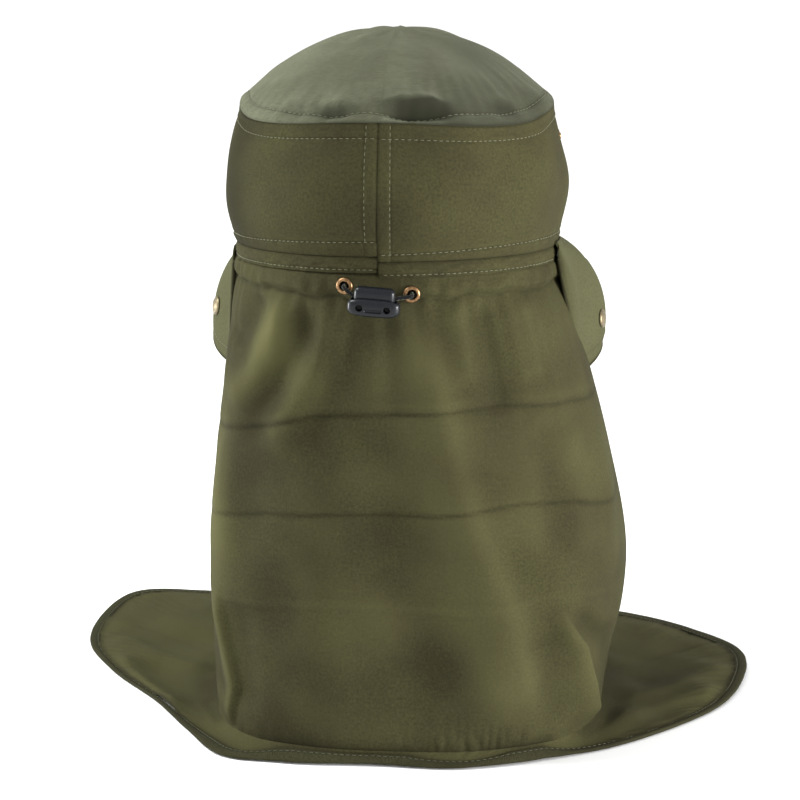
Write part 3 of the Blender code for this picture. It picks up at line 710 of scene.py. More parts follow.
def dome_relief(a, share):
    """Dents and puckers near the rim, and broad unevenness."""
    degrees = turn_degrees(a)
    rim = smooth((share - 0.55) / 0.4)
    relief = 0.0
    for centre, width, ridge, out, dent in DOME_DENTS:
        there = dent_spread(a, centre, width)
        crest = mix(0.96, ridge, there) - 0.01
        relief += there * MM * (out * bell(share, crest, 0.045) - dent * bell(share, 0.94, 0.04))
    relief += 1.6 * MM * bell(degrees, -79, 8) * bell(share, 0.95, 0.08)
    relief += -1.6 * MM * bell(degrees, -64, 7) * bell(share, 0.95, 0.08)
    relief += 0.9 * MM * uneven(degrees, share * 60, 36, 3) * smooth(share / 0.3)
    relief += 0.45 * MM * uneven(degrees, share * 20, 7, 5) * rim
    relief += 0.45 * MM * smooth((share - DOME_ROW) / 0.02) - 0.5 * MM * bell(share, DOME_ROW, 0.008)
    return relief * (1 - 0.75 * smooth((share - 0.985) / 0.015))


def dome_painted_shade(a, share):
    """Painted shade: darker at the rim, along the stitches, on the wearer's right where less light
    falls, and inside each dent.
    """
    rim = 0.75 * smooth((share - 0.988) / 0.012) * (0.45 + 0.55 * bell(turn_degrees(a), -5, 42))
    dark = rim + 0.25 * bell(share, DOME_ROW, 0.008)
    dark += 0.70 * smooth((-0.05 - np.sin(a) * share) / 0.5)
    below_stitches = 1 - 0.7 * smooth((share - DOME_ROW) / 0.03)
    for centre, width, ridge, _, dent in DOME_DENTS:
        inside = dent_spread(a, centre, width) * smooth((share - ridge + 0.025) / 0.05)
        dark += 0.17 * dent * inside * below_stitches
    return dark


def make_crown_top():
    share, a = grid(np.linspace(0.004, 1.0, 90), np.linspace(0, 2 * np.pi, 300, False))
    share = share ** 0.8
    rows = dome_point(a, share)
    rows = rows + normals_of(rows, True) * dome_relief(a, share)[..., None]
    top = cloth_object("crown_top_cloth", rows, PAINTED_LIT_CROWN, closed=True, cap=True,
                       dark=dome_painted_shade(a, share))
    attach(top, "hat")
    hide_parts("crown_top")


def dome_line():
    """The row of stitches round the dome."""
    a = np.linspace(0, 2 * np.pi, 400)
    share = np.full_like(a, DOME_ROW)
    grid = dome_point(np.stack([a] * 3), np.stack([share - 0.01, share, share + 0.01]))
    up = normals_of(grid, True)[1]
    return dome_point(a, share) + up * (dome_relief(a, share) + 0.8 * MM)[:, None], up


def side_relief(a, share, side):
    """Seam allowances, stitched hollows and soft dents of a side panel."""
    degrees = np.degrees(a) * side
    height = SEAM_Z - hem_z(a)
    x = np.abs(np.sin(a)) * HEAD_X
    from_seam, above_hem, row = (1 - share) * height, share * height, hem_row(a, side)
    relief = 0.5 * MM * (1 - smooth((from_seam - 6.5 * MM) / (1.2 * MM)))
    relief -= 0.45 * MM * bell(from_seam, SEAM_ROW, 0.9 * MM)
    relief += 0.55 * MM * (1 - smooth((above_hem - row + 0.8 * MM) / (1.0 * MM)))
    relief -= 0.4 * MM * bell(above_hem, row + 0.4 * MM, 0.9 * MM)
    back_seam = 0.45 * MM * (1 - smooth((x - 6.2 * MM) / (0.9 * MM)))
    back_seam = back_seam - 0.4 * MM * bell(x, BACK_ROW, 0.8 * MM) - 0.5 * MM * bell(x, 0, 1.1 * MM)
    relief += np.where(np.cos(a) > 0, back_seam, 0)
    broad = uneven(degrees, share * 50, 34, 11 + side)
    relief += 2.2 * MM * broad * np.sin(np.pi * share) * smooth(x / (18 * MM))
    puckers = bell(above_hem, row, 3.5 * MM) + 0.7 * bell(from_seam, 6 * MM, 4 * MM)
    relief += 0.28 * MM * uneven(degrees, share * 9, 5, 21 + side) * puckers
    above_row = smooth((degrees - 38) / 30) * bell(above_hem, row - 1 * MM, 5 * MM)
    return relief + 0.45 * MM * uneven(degrees + share * 24, share * 20, 9, 27 + side) * above_row


def hem_row(a, side):
    """How high above the hem's fold the upper stitches run."""
    degrees = np.abs(np.degrees(a))
    if side > 0:
        return mix(8.0, 5.6, smooth(degrees / 70)) * MM
    return mix(3.6, 7.2, smooth(degrees / 70)) * MM


def fold_z(a, side):
    """The height of the fold at the hem: the two panels meet a little out of line."""
    step = 1.5 * MM * np.exp(-np.abs(np.degrees(a)) / 40)
    return hem_z(a) + side * step


def side_point(a, share, side, lift=0.0):
    """A point of a side panel and its outward direction; past 1, share goes in under the dome."""
    rows = hat_point(a, crown_swell(share), mix(fold_z(a, side), seam_z(a), share))
    out = hat_outward(a)
    tucked = 100 * MM * np.maximum(share - 1, 0)
    return rows + out * (side_relief(a, share, side) + lift - tucked)[..., None], out


def make_crown_side(name, side):
    height = np.append(np.linspace(0, 1, 96), 1 + PANEL_TUCK)
    turn = np.radians(np.concatenate([np.linspace(0, 9, 24)[:-1], np.linspace(9, 180, 215)]))
    share, a = grid(height[::-1], turn * side)
    rows, _ = side_point(a, share, side)
    edge = np.minimum(share, 1 - share) * (SEAM_Z - HEM_MEAN_Z)
    x = np.abs(np.sin(a)) * HEAD_X
    # Painted shade along the panel's edges by the seam and the fold, and in the back seam's groove.
    dark = 0.4 * bell(edge, 0, 0.7 * MM) + 0.7 * bell(x, 0, 0.6 * MM)
    row = hem_row(a, side)
    above = share * (SEAM_Z - hem_z(a))
    # Painted shade in the stitch row's hollow and a painted highlight on the ridge above it.
    dark = dark + 0.16 * bell(above, row, 0.8 * MM) - 0.12 * bell(above, row + 1.6 * MM, 1 * MM)
    # Painted shade over the far side of the wearer's left.
    if side > 0:
        dark += 0.6 * bell(np.degrees(a), 66, 14)
    panel = cloth_object(f"crown_side_cloth_{name}", rows, OLIVE, dark=np.clip(dark, -1, 1))
    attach(panel, "hat")
    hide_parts(f"crown_side_{name}")


def side_lines(side):
    """The stitched rows of one side panel: below the dome, above the hem and by the back seam."""
    turn = np.linspace(0.02, 3.12, 260) * side
    height = SEAM_Z - hem_z(turn)
    lines = [side_point(turn, share, side, 0.5 * MM)
             for share in (1 - SEAM_ROW / height, hem_row(turn, side) / height)]
    share = np.linspace(hem_row(np.array(0.02), side) / (SEAM_Z - hem_z(0)), 0.99, 60)
    turn = np.full_like(share, side * math.asin(BACK_ROW / HEAD_X))
    return lines + [side_point(turn, share, side, 0.5 * MM)]


# ------------------------------------------------------------------ hem band
def band_point(a, drop, side, lift=0.0):
    """The band under the fold: it tucks in under the panel and is stitched near its foot."""
    outward = 0.6 * MM - 1.5 * MM * np.exp(-drop / (0.9 * MM)) + 0.5 * MM * bell(drop, 4 * MM, 3 * MM)
    outward -= 0.5 * MM * bell(drop, BAND_ROW, 0.9 * MM)
    puckers = uneven(np.degrees(a), drop / MM * 2, 6, 31 + side)
    outward += 0.35 * MM * puckers * smooth(drop / (3 * MM))
    return hat_point(a, outward + lift, fold_z(a, side) - drop), hat_outward(a)


def make_hem_band(name, side):
    """One half of the band, and its row of stitches."""
    drop, a = grid(np.linspace(0.3 * MM, 9.3 * MM, 30),
                   np.radians(np.linspace(0.12, 179.88, 230)) * side)
    rows, _ = band_point(a, drop, side)
    x = np.abs(np.sin(a)) * HEAD_X
    # Painted shade under the fold, heavier on the wearer's right, in the back seam, along the stitch row
    # and along the band's lower edge.
    dark = (0.4 if side > 0 else 0.75) * np.exp(-drop / (1.0 * MM)) + 0.7 * bell(x, 0, 0.7 * MM)
    dark = dark + 0.15 * bell(drop, BAND_ROW, 0.8 * MM) + 0.35 * bell(drop, 9.4 * MM, 0.6 * MM)
    band = cloth_object(f"hem_band_cloth_{name}", rows, OLIVE, dark=np.clip(dark, -1, 1))
    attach(band, "hat")
    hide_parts(f"hem_band_{name}")
    turn = np.linspace(0.03, 3.11, 260) * side
    return band_point(turn, np.full_like(turn, BAND_ROW), side, 0.5 * MM)


def make_sweatband():
    rise, a = grid(np.linspace(20 * MM, -8.5 * MM, 16), np.linspace(0, 2 * np.pi, 160, False))
    curl = 0.4 * MM * uneven(np.degrees(a), rise / MM, 30, 41)
    rows = hat_point(a, -2.9 * MM + curl, hem_z(a) + rise)
    band = cloth_object("sweatband_cloth", rows, LINING, closed=True)
    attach(band, "hat")
    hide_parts("sweatband")


# ------------------------------------------------------------------ flap and cape
CREASES = [  # the folds that packing leaves across the flap: points (x, z) in mm, width, height
    ([(118, 168), (85, 182), (60, 190), (37, 198), (0, 201), (-26, 202), (-71, 203), (-104, 198),
      (-128, 187)], 3.2, -1.1, 0.75),
    ([(118, 173), (85, 187), (60, 195), (37, 203), (0, 206), (-26, 207), (-71, 208), (-104, 203),
      (-128, 192)], 5.0, 0.7, 0.0),
    ([(122, 120), (93, 132), (65, 140), (28, 144), (-34, 145), (-58, 147), (-80, 149), (-108, 145),
      (-134, 133)], 4.0, -0.8, 0.6),
    ([(122, 84), (88, 86), (21, 94), (-19, 91), (-50, 90), (-88, 95), (-112, 94), (-134, 86)],
     3.2, 0.9, 0.6),
]
SOFT_FOLDS = [  # folds that hang in the cloth
    ([(-14, 262), (-26, 220), (-36, 180), (-50, 135), (-68, 89), (-80, 40), (-86, 6)], 26.0, 4.6, 0.5),
    ([(50, 264), (57, 244), (70, 217), (90, 190)], 8.0, 4.2, 0.0),
    ([(68, 262), (76, 244), (90, 226)], 6.0, -2.4, 0.0),
    ([(38, 264), (44, 240), (60, 208), (84, 174)], 9.0, -4.4, 0.0),
    ([(24, 262), (30, 236), (44, 206), (66, 172)], 9.0, 2.4, 0.0),
    ([(10, 262), (14, 236), (24, 206), (44, 170)], 10.0, -1.6, 0.0),
    ([(-52, 264), (-60, 238), (-66, 212), (-68, 196)], 8.0, -3.0, 0.0),
    ([(-38, 264), (-44, 240), (-48, 214)], 7.0, 1.8, 0.2),
    ([(-74, 262), (-80, 236), (-84, 212)], 8.0, 1.6, 0.2),
    ([(-4, 262), (-8, 226), (-12, 196)], 9.0, -1.4, 0.0),
    ([(70, 180), (76, 150), (72, 110), (62, 60)], 16.0, -2.0, 0.0),
    ([(92, 178), (94, 140), (92, 100)], 8.0, 1.6, 0.0),
    ([(30, 180), (34, 130), (30, 70), (28, 14)], 20.0, 1.8, 0.0),
    ([(2, 170), (-8, 120), (-20, 70), (-26, 14)], 18.0, -2.2, 0.0),
    ([(-98, 90), (-112, 62), (-117, 36), (-119, 2)], 6.0, 3.6, 0.7),
    ([(-106, 88), (-125, 60), (-128, 34), (-127, 4)], 6.0, -3.0, 0.2),
    ([(-86, 78), (-96, 50), (-102, 14)], 10.0, -2.2, 0.0),
    ([(96, 92), (90, 62), (84, 34), (88, 4)], 5.0, 3.2, 0.6),
    ([(84, 90), (78, 52), (74, 20)], 9.0, -2.2, 0.0),
    ([(102, 70), (100, 44), (96, 18)], 5.0, -2.4, 0.0),
    ([(-100, 190), (-112, 150), (-116, 110)], 9.0, 1.8, 0.3),
    ([(-84, 196), (-96, 160), (-100, 110)], 9.0, -2.0, 0.0),
]
CAPE_FOLDS = [  # and in the cape: points (x, y) in mm, width, height, sharp
    ([(-122, 60), (-146, 10), (-196, -40)], 11, 2.4, 0.3),
    ([(-128, 10), (-160, -30), (-200, -84)], 11, 2.2, 0.2),
    ([(122, 40), (150, -6), (182, -70)], 14, 3.2, 0.3),
    ([(112, -30), (150, -60), (190, -110)], 12, 3.0, 0.2),
    ([(30, -112), (44, -160), (52, -205)], 10, 3.0, 0.3),
    ([(-40, -112), (-58, -160), (-64, -205)], 12, 3.4, 0.3),
    ([(-6, -115), (-4, -165), (2, -205)], 9, 2.0, 0.3),
]
PAINTED_LIGHT_PATCHES = [  # painted light, paler places on the hanging cloth: x, z, half width, half height, how much
    (57, 234, 15, 22, 0.85), (98, 130, 9, 60, 0.6), (-84, 165, 18, 30, 0.35),
    (-13, 89, 22, 40, 0.35), (-13, 232, 24, 16, 0.25),
]


def pinch_z(a):
    """The height of the line along which the drawcord draws the cloth in."""
    degrees = np.degrees(a)
    return PINCH_Z - 4 * MM * smooth((np.abs(degrees) - 35) / 45) + 1.2 * MM * uneven(degrees, 0, 16, 51)


def soft_folds(x, z):
    """The soft folds together, a little deeper than their table says."""
    return sum(fold(x, z, points, width, 1.25 * height, sharp)
               for points, width, height, sharp in SOFT_FOLDS)


def flap_relief(a, z):
    """How far the hanging cloth stands out from its plain shape."""
    p = skirt_point(a, z)
    x = p[..., 0]
    degrees = np.degrees(a)
    back = smooth((np.cos(a) + 0.25) / 0.5)
    relief = sum(fold(x, z, *settings) for settings in CREASES)
    relief = (relief + soft_folds(x, z)) * back
    below = pinch_z(a) - z
    reach = 1 - smooth((np.abs(degrees) - 84) / 20)
    tuck = 1.8 * MM * smooth((z - hem_z(a) + 10.5 * MM) / (2.5 * MM))
    relief -= tuck
    puff = 1.4 * MM + 0.9 * MM * uneven(degrees, 0, 17, 53)
    relief += reach * puff * bell(below, -5.5 * MM, 4.6 * MM)
    relief = relief - reach * 2.2 * MM * np.exp(-np.maximum(below, 0) / (5 * MM)) * smooth(
        (below + 3.4 * MM) / (3.2 * MM))
    gather = uneven(degrees, z / MM * 0.10, 8, 55)
    fade = np.exp(-np.maximum(below, 0) / (34 * MM)) * smooth((below + 4 * MM) / (8 * MM))
    relief += reach * 0.9 * MM * gather * fade
    relief += 0.5 * MM * reach * uneven(degrees, z / MM * 0.2, 6, 57) * bell(below, -5 * MM, 7 * MM)
    relief = relief + 1.3 * MM * uneven(degrees, z / MM * 0.35, 34, 59) * smooth(
        (HEM_MEAN_Z - z) / (70 * MM))
    pucker = uneven(x / MM, 0, 7, 61) * bell(z, FOOT_Z - 2 * MM, 9 * MM)
    small = uneven(x / MM, z / MM * 0.3, 5, 63) * bell(z, FOOT_Z, 12 * MM) * bell(x, -48 * MM, 34 * MM)
    relief -= 1.6 * MM * narrow_cape(a) * bell(z, FOOT_Z + 0.5 * MM, 2.6 * MM)
    return relief + 0.55 * MM * pucker + 1.0 * MM * small


def lobe_relief(a, share):
    """Folds in the cape where it lies on the surface, nowhere below it."""
    degrees = np.degrees(a)
    p = flare_point(a, share)
    x, y = p[..., 0], p[..., 1] - HAT_Y
    open_cloth = smooth(share / 0.25) * smooth((1 - share) / 0.22)
    wide = smooth((cape_slant(a) - 20 * MM) / (45 * MM))
    swell = 1.5 * MM + 1.3 * MM * uneven(x / MM, y / MM, 48, 71)
    folds = sum(fold(x, y, *settings) for settings in CAPE_FOLDS)
    edge = 0.35 * MM * (uneven(degrees * 2.4, 0, 7, 73) + 1) * smooth((share - 0.5) / 0.3)
    return open_cloth * wide * (swell + folds) + edge * smooth((1 - share) / 0.05)


def flare_grid(angles, count):
    """The cape's rows, from beside its foot to where it goes in under the binding."""
    share = np.linspace(0, 1, count + 1)[1:, None] * covered_share(angles)[None, :]
    a = np.broadcast_to(angles, share.shape)
    rows = flare_point(a, share)
    rows[..., 2] += lobe_relief(a, share)
    return rows


def binding_shade(angles, count):
    """Painted shade on the cape's rows beside its foot and along and under the binding's inner edge, and
    painted light paling the rest a little.
    """
    share = np.linspace(0, 1, count + 1)[1:, None] * covered_share(angles)[None, :]
    slant = cape_slant(angles)
    distance = np.maximum((binding_share(angles) - share) * slant, 0)
    corner = 0.6 * np.exp(-share * slant / (13 * MM)) * smooth((slant - 30 * MM) / (30 * MM))
    return 0.9 * np.exp(-distance / (1.6 * MM)) + corner - 0.3


def hanging_cloth(angles, wall_rows, cape_rows):
    """The hanging cloth's angles and heights, and its points with the cape's after them."""
    share = np.linspace(0, 1, wall_rows)[:, None]
    share = mix(share, share ** 1.6, 0.75)
    top = hem_z(angles) - 5.0 * MM
    z = top + (FOOT_Z - top) * share
    a = np.broadcast_to(angles, z.shape)
    rows = skirt_point(a, z)
    keep = 0.35 + 0.65 * smooth((z - FOOT_Z) / (6 * MM))
    out = normals_of(rows, False) * np.array([1, 1, 0.2])
    rows = rows + out * (flap_relief(a, z) * keep)[..., None]
    shift = rows[-1] - foot_point(angles)
    fade = (1 - np.linspace(0, 1, cape_rows + 1)[1:]) ** 2
    low = flare_grid(angles, cape_rows) + shift[None] * fade[:, None, None]
    low[..., 2] = np.maximum(low[..., 2], 0.7 * MM)
    return a, z, np.concatenate([rows, low])


def make_flap():
    angles = np.radians(np.linspace(-FLAP_EDGE, FLAP_EDGE, 420))
    a, z, rows = hanging_cloth(angles, 190, 34)
    degrees = np.degrees(a)
    x = skirt_point(a, z)[..., 0]
    dark = 0.0
    # Painted shade in the packing creases' hollows and a painted highlight on their ridges.
    for points, _, height, _ in CREASES:
        distance = near_line(x, z, points)[0]
        if height < 0:
            dark += 0.42 * bell(distance, 0, 1.2 * MM)
        else:
            dark -= 0.08 * bell(distance, 0, 1.6 * MM)
    # Painted shade in the soft folds' hollows and painted light on their ridges; the uneven term is
    # random tone.
    hollow = -soft_folds(x, z) / (4 * MM)
    dark = dark + 0.3 * np.clip(hollow, -1.0, 1.0) + 0.12 * uneven(x / MM, z / MM, 45, 67)
    # Painted light on the paler places.
    for place_x, place_z, wide, high, share in PAINTED_LIGHT_PATCHES:
        dark -= share * bell(x, place_x * MM, wide * MM) * bell(z, place_z * MM, high * MM)
    dark = dark * (np.cos(a) > -0.3)
    # Painted shadow along the foot, where the cape is narrow.
    dark += 0.8 * narrow_cape(a) * np.exp(-(z - FOOT_Z) / (2.2 * MM))
    # Painted shadow just below the pinch, under the cloth that puffs out above it.
    painted_pinch_shadow = bell(z, pinch_z(a) - 0.8 * MM, 1.0 * MM) * (np.abs(degrees) < 88)
    dark += 0.35 * painted_pinch_shadow * (0.4 + 0.6 * np.abs(uneven(degrees, 0, 12, 58)))
    low = binding_shade(angles, len(rows) - len(dark))
    flap = cloth_object("neck_flap_cloth", rows, OLIVE, dark=np.concatenate([dark, low]))
    cut_eyelet_holes(flap)
    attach(flap, "hat")
    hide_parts("neck_flap")


def cut_eyelet_holes(flap):
    """Holes through the flap where the eyelets sit."""
    for name in SIDES:
        place, normal = eyelet_place(name)
        bpy.ops.mesh.primitive_cylinder_add(vertices=32, radius=EYELET_HOLE, depth=16 * MM)
        rod = bpy.context.object
        rod.matrix_world = facing(place, normal)
        cut(flap, rod)


def make_front():
    angles = np.radians(np.linspace(FLAP_EDGE, 360 - FLAP_EDGE, 200))
    share = np.linspace(0, 1, 90)[:, None]
    top = (hem_z(angles) - 9.0 * MM)[None, :]
    z = top + (MESH_LOW_Z - top) * share
    a = np.broadcast_to(angles, z.shape)
    rows = skirt_point(a, z)
    slack = 1.6 * MM * uneven(np.degrees(a), z / MM * 0.3, 30, 81) * np.sin(np.pi * share)
    rows = rows + normals_of(rows, False) * slack[..., None]
    net = cloth_object("face_net", rows, NET, thickness=0)
    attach(net, "hat")
    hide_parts("face_mesh")
    z = np.linspace(MESH_LOW_Z + 0.5 * MM, FOOT_Z, 26)[:, None] + 0 * angles[None, :]
    a = np.broadcast_to(angles, z.shape)
    wall = skirt_point(a, z)
    sag = 1.2 * MM * uneven(np.degrees(a), z / MM, 22, 83)
    wall = wall + normals_of(wall, False) * sag[..., None]
    rows = np.concatenate([wall, flare_grid(angles, 60)])
    low = np.concatenate([np.zeros(wall.shape[:2]), binding_shade(angles, 60)])
    chest = cloth_object("chest_panel_cloth", rows, OLIVE, dark=low)
    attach(chest, "hat")
    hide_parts("chest_panel")


def tape(name, node, path):
    """A flat woven tape with softly rounded edges, and its two rows of stitches."""
    out = unit((path - np.array([0, HAT_Y, 0])) * np.array([1, 1, 0]))
    path = path + out * 1.3 * MM
    across = unit(np.cross(out, np.gradient(path, axis=0)))
    place = np.array([-1.0, -0.97, -0.8, -0.5, 0, 0.5, 0.8, 0.97, 1.0]) * TAPE_WIDTH / 2
    rise = np.array([-0.5, 0.1, 0.45, 0.5, 0.55, 0.5, 0.45, 0.1, -0.5]) * 0.8 * MM
    rows = path[None] + across[None] * place[:, None, None] + out[None] * rise[:, None, None]
    piece = cloth_object(name, rows, BINDING, thickness=0.5 * MM)
    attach(piece, "hat")
    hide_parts(node)
    return [(path + across * s * TAPE_WIDTH * 0.38 + out * 0.75 * MM, out) for s in (-1, 1)]


def make_tapes():
    edge = math.radians(FLAP_EDGE)
    z = np.linspace(hem_z(edge) - 12 * MM, MESH_LOW_Z + 4 * MM, 120)
    lines = []
    for name, side in SIDES.items():
        path = skirt_point(np.full_like(z, side * edge), z)
        lines += tape(f"mesh_tape_cloth_{name}", f"mesh_tape_{name}", path)
    a = np.linspace(edge, 2 * np.pi - edge, 200)
    path = skirt_point(a, MESH_LOW_Z + 0 * a)
    return lines + tape("mesh_tape_cloth_lower", "mesh_tape_lower", path)


def make_binding():
    """The folded tape round the cape's edge: two flat faces with a round outer fold."""
    count = 900
    a = np.linspace(-np.pi, np.pi, count, False)
    inner, outer = flare_point(a, binding_share(a)), cape_edge(a)
    slope = unit(outer - inner)
    up = unit(np.cross(np.roll(outer, -1, 0) - np.roll(outer, 1, 0), slope))
    up *= np.sign(up[:, 2:])
    wave = 0.35 * MM * uneven(np.degrees(a) * 2, 0, 9, 91)
    half = BINDING_THICK / 2
    section = [(0.0, 1.0), (0.02, 1.12), (0.10, 1.08), (0.18, 0.82), (0.26, 1.02), (0.5, 1.08),
               (0.75, 1.0), (0.9, 0.85), (0.98, 0.5), (1.0, 0.0), (0.98, -0.5), (0.9, -0.85),
               (0.5, -0.9), (0.1, -0.9), (0.0, -0.8)]
    rows = []
    for share, height in section:
        spot = inner + (outer - inner) * share + up * half * height * 0.95
        if share > 0.4:
            spot = spot + slope * wave[:, None] * 0.5
        rows.append(spot)
    rows = np.array(rows)
    rows[..., 2] = np.maximum(rows[..., 2], 0.05 * MM)
    index = np.arange(len(section) * count).reshape(-1, count)
    below = np.roll(index, -1, 0)
    faces = stack(index, below, np.roll(below, -1, 1), np.roll(index, -1, 1)).reshape(-1, 4)
    piece = plain_object("cape_binding_tape", rows.reshape(-1, 3), faces, BINDING, 50)
    flat = stack(lengths(outer, 0)[None, :], np.arange(len(section))[:, None] * 1.2 * MM)
    tone = np.zeros((len(section), count))
    # Painted shade along the binding's inner edge and in the dip where its stitches run.
    tone[0], tone[3] = 0.5, 0.25
    give_weave(piece, flat.reshape(-1, 2), tone)
    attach(piece, "hat")
    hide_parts("cape_binding")
    line = inner + (outer - inner) * 0.18 + up * (half * 0.80 + 0.25 * MM)
    return [(line, up)]


# ------------------------------------------------------------------ brim
def brim_droop(degrees, side, end):
    """How steeply the brim hangs: end is 0 for its root and 1 for its edge."""
    droop = BRIM_DROOP[side]
    near = mix(droop["rear"][end], droop["side"][end], smooth((degrees - 90) / 26))
    return np.radians(mix(near, droop["front"][end], smooth((degrees - 114) / 55)))


def brim_point(a, share, side):
    """The plain brim, from its root at 0 to its edge at 1: an arc of even bend."""
    degrees = np.degrees(np.abs(a))
    rounding = np.sqrt(np.maximum(0.0, 1 - np.maximum(0.0, (96 - degrees) / 13.5) ** 2))
    front = smooth((degrees - 114) / 55)
    width = mix(BRIM_WIDTH[side], BRIM_FRONT_WIDTH, front) * rounding
    start, end = brim_droop(degrees, side, 0), brim_droop(degrees, side, 1)
    bend = (end - start) * np.maximum(share, 1e-6)
    run = (np.sin(start + bend) - np.sin(start)) / bend
    fall = (np.cos(start) - np.cos(start + bend)) / bend
    root = hat_point(a, 2.2 * MM, hem_z(a) + mix(BRIM_ROOT[side], BRIM_FRONT_ROOT, front))
    away = hat_outward(a) * (run * width * share)[..., None]
    return root + away - stack(0, 0, fall * width * share)


def brim_relief(a, share):
    """The brim's waves, the hollows of its stitches and its thicker edge."""
    degrees = np.degrees(a)
    wave = 1.1 * MM * uneven(degrees, share * 30, 30, 101) * smooth(share / 0.4)
    rows = 0.0
    for row in BRIM_ROWS:
        rows = rows - 0.28 * MM * bell(share * BRIM_FRONT_WIDTH, row * MM, 0.8 * MM)
    return wave + rows + 0.35 * MM * bell(share, 0.97, 0.03)


def brim_surface(a, share, side, lift=0.0):
    """Points of the brim's cloth and its normals there."""
    rows = brim_point(a, share, side)
    step = 0.004
    along = brim_point(a + step, share, side) - brim_point(a - step, share, side)
    out = brim_point(a, share + step, side) - brim_point(a, share - step, side)
    n = unit(np.cross(along, out) * side)
    n = n * np.where(n[..., 2:3] < -0.6, -1, 1)
    return rows + n * (brim_relief(a, share) + lift)[..., None], n


def make_brim(name, side):
    turn = np.radians(np.linspace(BRIM_START, 180, 230)) * side
    share, a = grid(np.linspace(0, 1, 70), turn)
    rows, _ = brim_surface(a, share, side)
    # Painted shade where the brim meets the hat, along its edge and in the hollows of its stitch rows.
    dark = 0.5 * bell(share, 1.0, 0.012) + 0.5 * bell(share, 0.0, 0.02)
    for row in BRIM_ROWS:
        dark += 0.2 * bell(share * BRIM_FRONT_WIDTH, row * MM, 0.7 * MM)
    brim = cloth_object(f"brim_cloth_{name}", rows, BRIM, thickness=1.4 * MM, dark=dark)
    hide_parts(f"brim_wing_{name}", "brim_front")
    edge, _ = brim_surface(turn, np.full_like(turn, 1.0), side)
    bound = pipe(f"brim_edge_{name}", edge, BRIM_EDGE, BINDING, 10)
    turn = turn[np.degrees(np.abs(turn)) > BRIM_SEWN]
    lines = []
    for row in BRIM_ROWS:
        share = np.full_like(turn, row * MM / BRIM_FRONT_WIDTH)
        lines.append(brim_surface(turn, share, side, 0.75 * MM))
    thread = stitches(f"brim_stitches_{name}", lines, THREAD, 2.6 * MM)
    for piece in (brim, bound, thread):
        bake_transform(piece)


def make_snaps(name, side):
    a = np.array([side * math.radians(SNAP_ANGLE[side])])
    share = np.array([SNAP_REACH[side] / BRIM_WIDTH[side]])
    _, n = brim_surface(a, share, side)
    normal = Vector(n[0])
    normal = normal if normal.x * side > 0 else -normal
    spot = Vector(brim_point(a, share, side)[0])
    cap = turned(f"brim_snap_{name}", [
        (0, 3.0), (1.6, 2.95), (3.0, 2.75), (3.35, 2.5), (3.6, 2.55), (4.4, 2.3), (5.0, 1.9),
        (5.3, 1.35), (5.1, 0.9), (1.5, 0.8), (1.5, -0.9), (0, -0.9),
    ], spot, normal, PALE_BRASS)
    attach(cap, f"{name}_wing")
    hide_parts(f"brim_snap_cap_{name}")
    for node in (f"brim_snap_socket_{name}", f"crown_snap_stud_{name}", f"crown_snap_plate_{name}"):
        repaint(node, BRASS)


def repaint(node, material):
    """Give a CAD node that stays as it is a material of the looks."""
    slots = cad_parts[node].material_slots
    for one in slots:
        one.material = material
    if not slots:
        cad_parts[node].data.materials.append(material)


# ------------------------------------------------------------------ drawcord and its lock
def eyelet_place(name):
    """An eyelet's middle on the cloth and its outward normal, from its CAD ring."""
    centre = middle(f"eyelet_{name}")
    normal = Vector((centre.x / HEAD_X ** 2, (centre.y - HAT_Y) / HEAD_Y ** 2, 0)).normalized()
    return centre, normal


def make_eyelet(name):
    centre, normal = eyelet_place(name)
    a = np.array([math.atan2(centre.x / HEAD_X, (centre.y - HAT_Y) / HEAD_Y)])
    z = np.array([centre.z])
    surface = Vector(skirt_point(a, z)[0]) + normal * (float(flap_relief(a, z)[0]) + 0.3 * MM)
    place = centre + normal * (surface - centre).dot(normal)
    ring = turned(f"eyelet_ring_{name}", [
        (2.5, -2.2), (2.5, 0.9), (2.65, 1.35), (3.1, 1.65), (3.7, 1.6), (4.4, 1.25), (4.8, 0.6),
        (4.7, 0.3), (3.0, 0.2), (2.9, -2.2),
    ], place, normal, BRASS)
    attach(ring, "hat")
    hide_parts(f"eyelet_{name}")
    repaint(f"eyelet_washer_{name}", BRASS)
    return place, normal


def lock_frame():
    """Where the cord lock is, and how it leans."""
    tilt = Matrix.Rotation(math.radians(-LOCK_TILT), 4, "Y")
    return Matrix.Translation(middle("cord_lock_body")) @ tilt


def curved(points, spacing):
    """Points evenly spaced along a smooth curve through the given ones."""
    points = [np.array(p, float) for p in points]
    path = [points[0] * 2 - points[1]] + points + [points[-1] * 2 - points[-2]]
    fine = []
    for p0, p1, p2, p3 in zip(path, path[1:], path[2:], path[3:]):
        for t in np.linspace(0, 1, 16, False):
            fine.append(0.5 * (2 * p1 + (p2 - p0) * t + (2 * p0 - 5 * p1 + 4 * p2 - p3) * t * t
                               + (3 * p1 - p0 - 3 * p2 + p3) * t ** 3))
    fine.append(path[-2])
    fine = np.array(fine)
    along = lengths(fine, 0)
    at = np.linspace(0, along[-1], max(4, round(along[-1] / spacing)) + 1)
    return np.stack([np.interp(at, along, fine[:, k]) for k in range(3)], axis=-1)


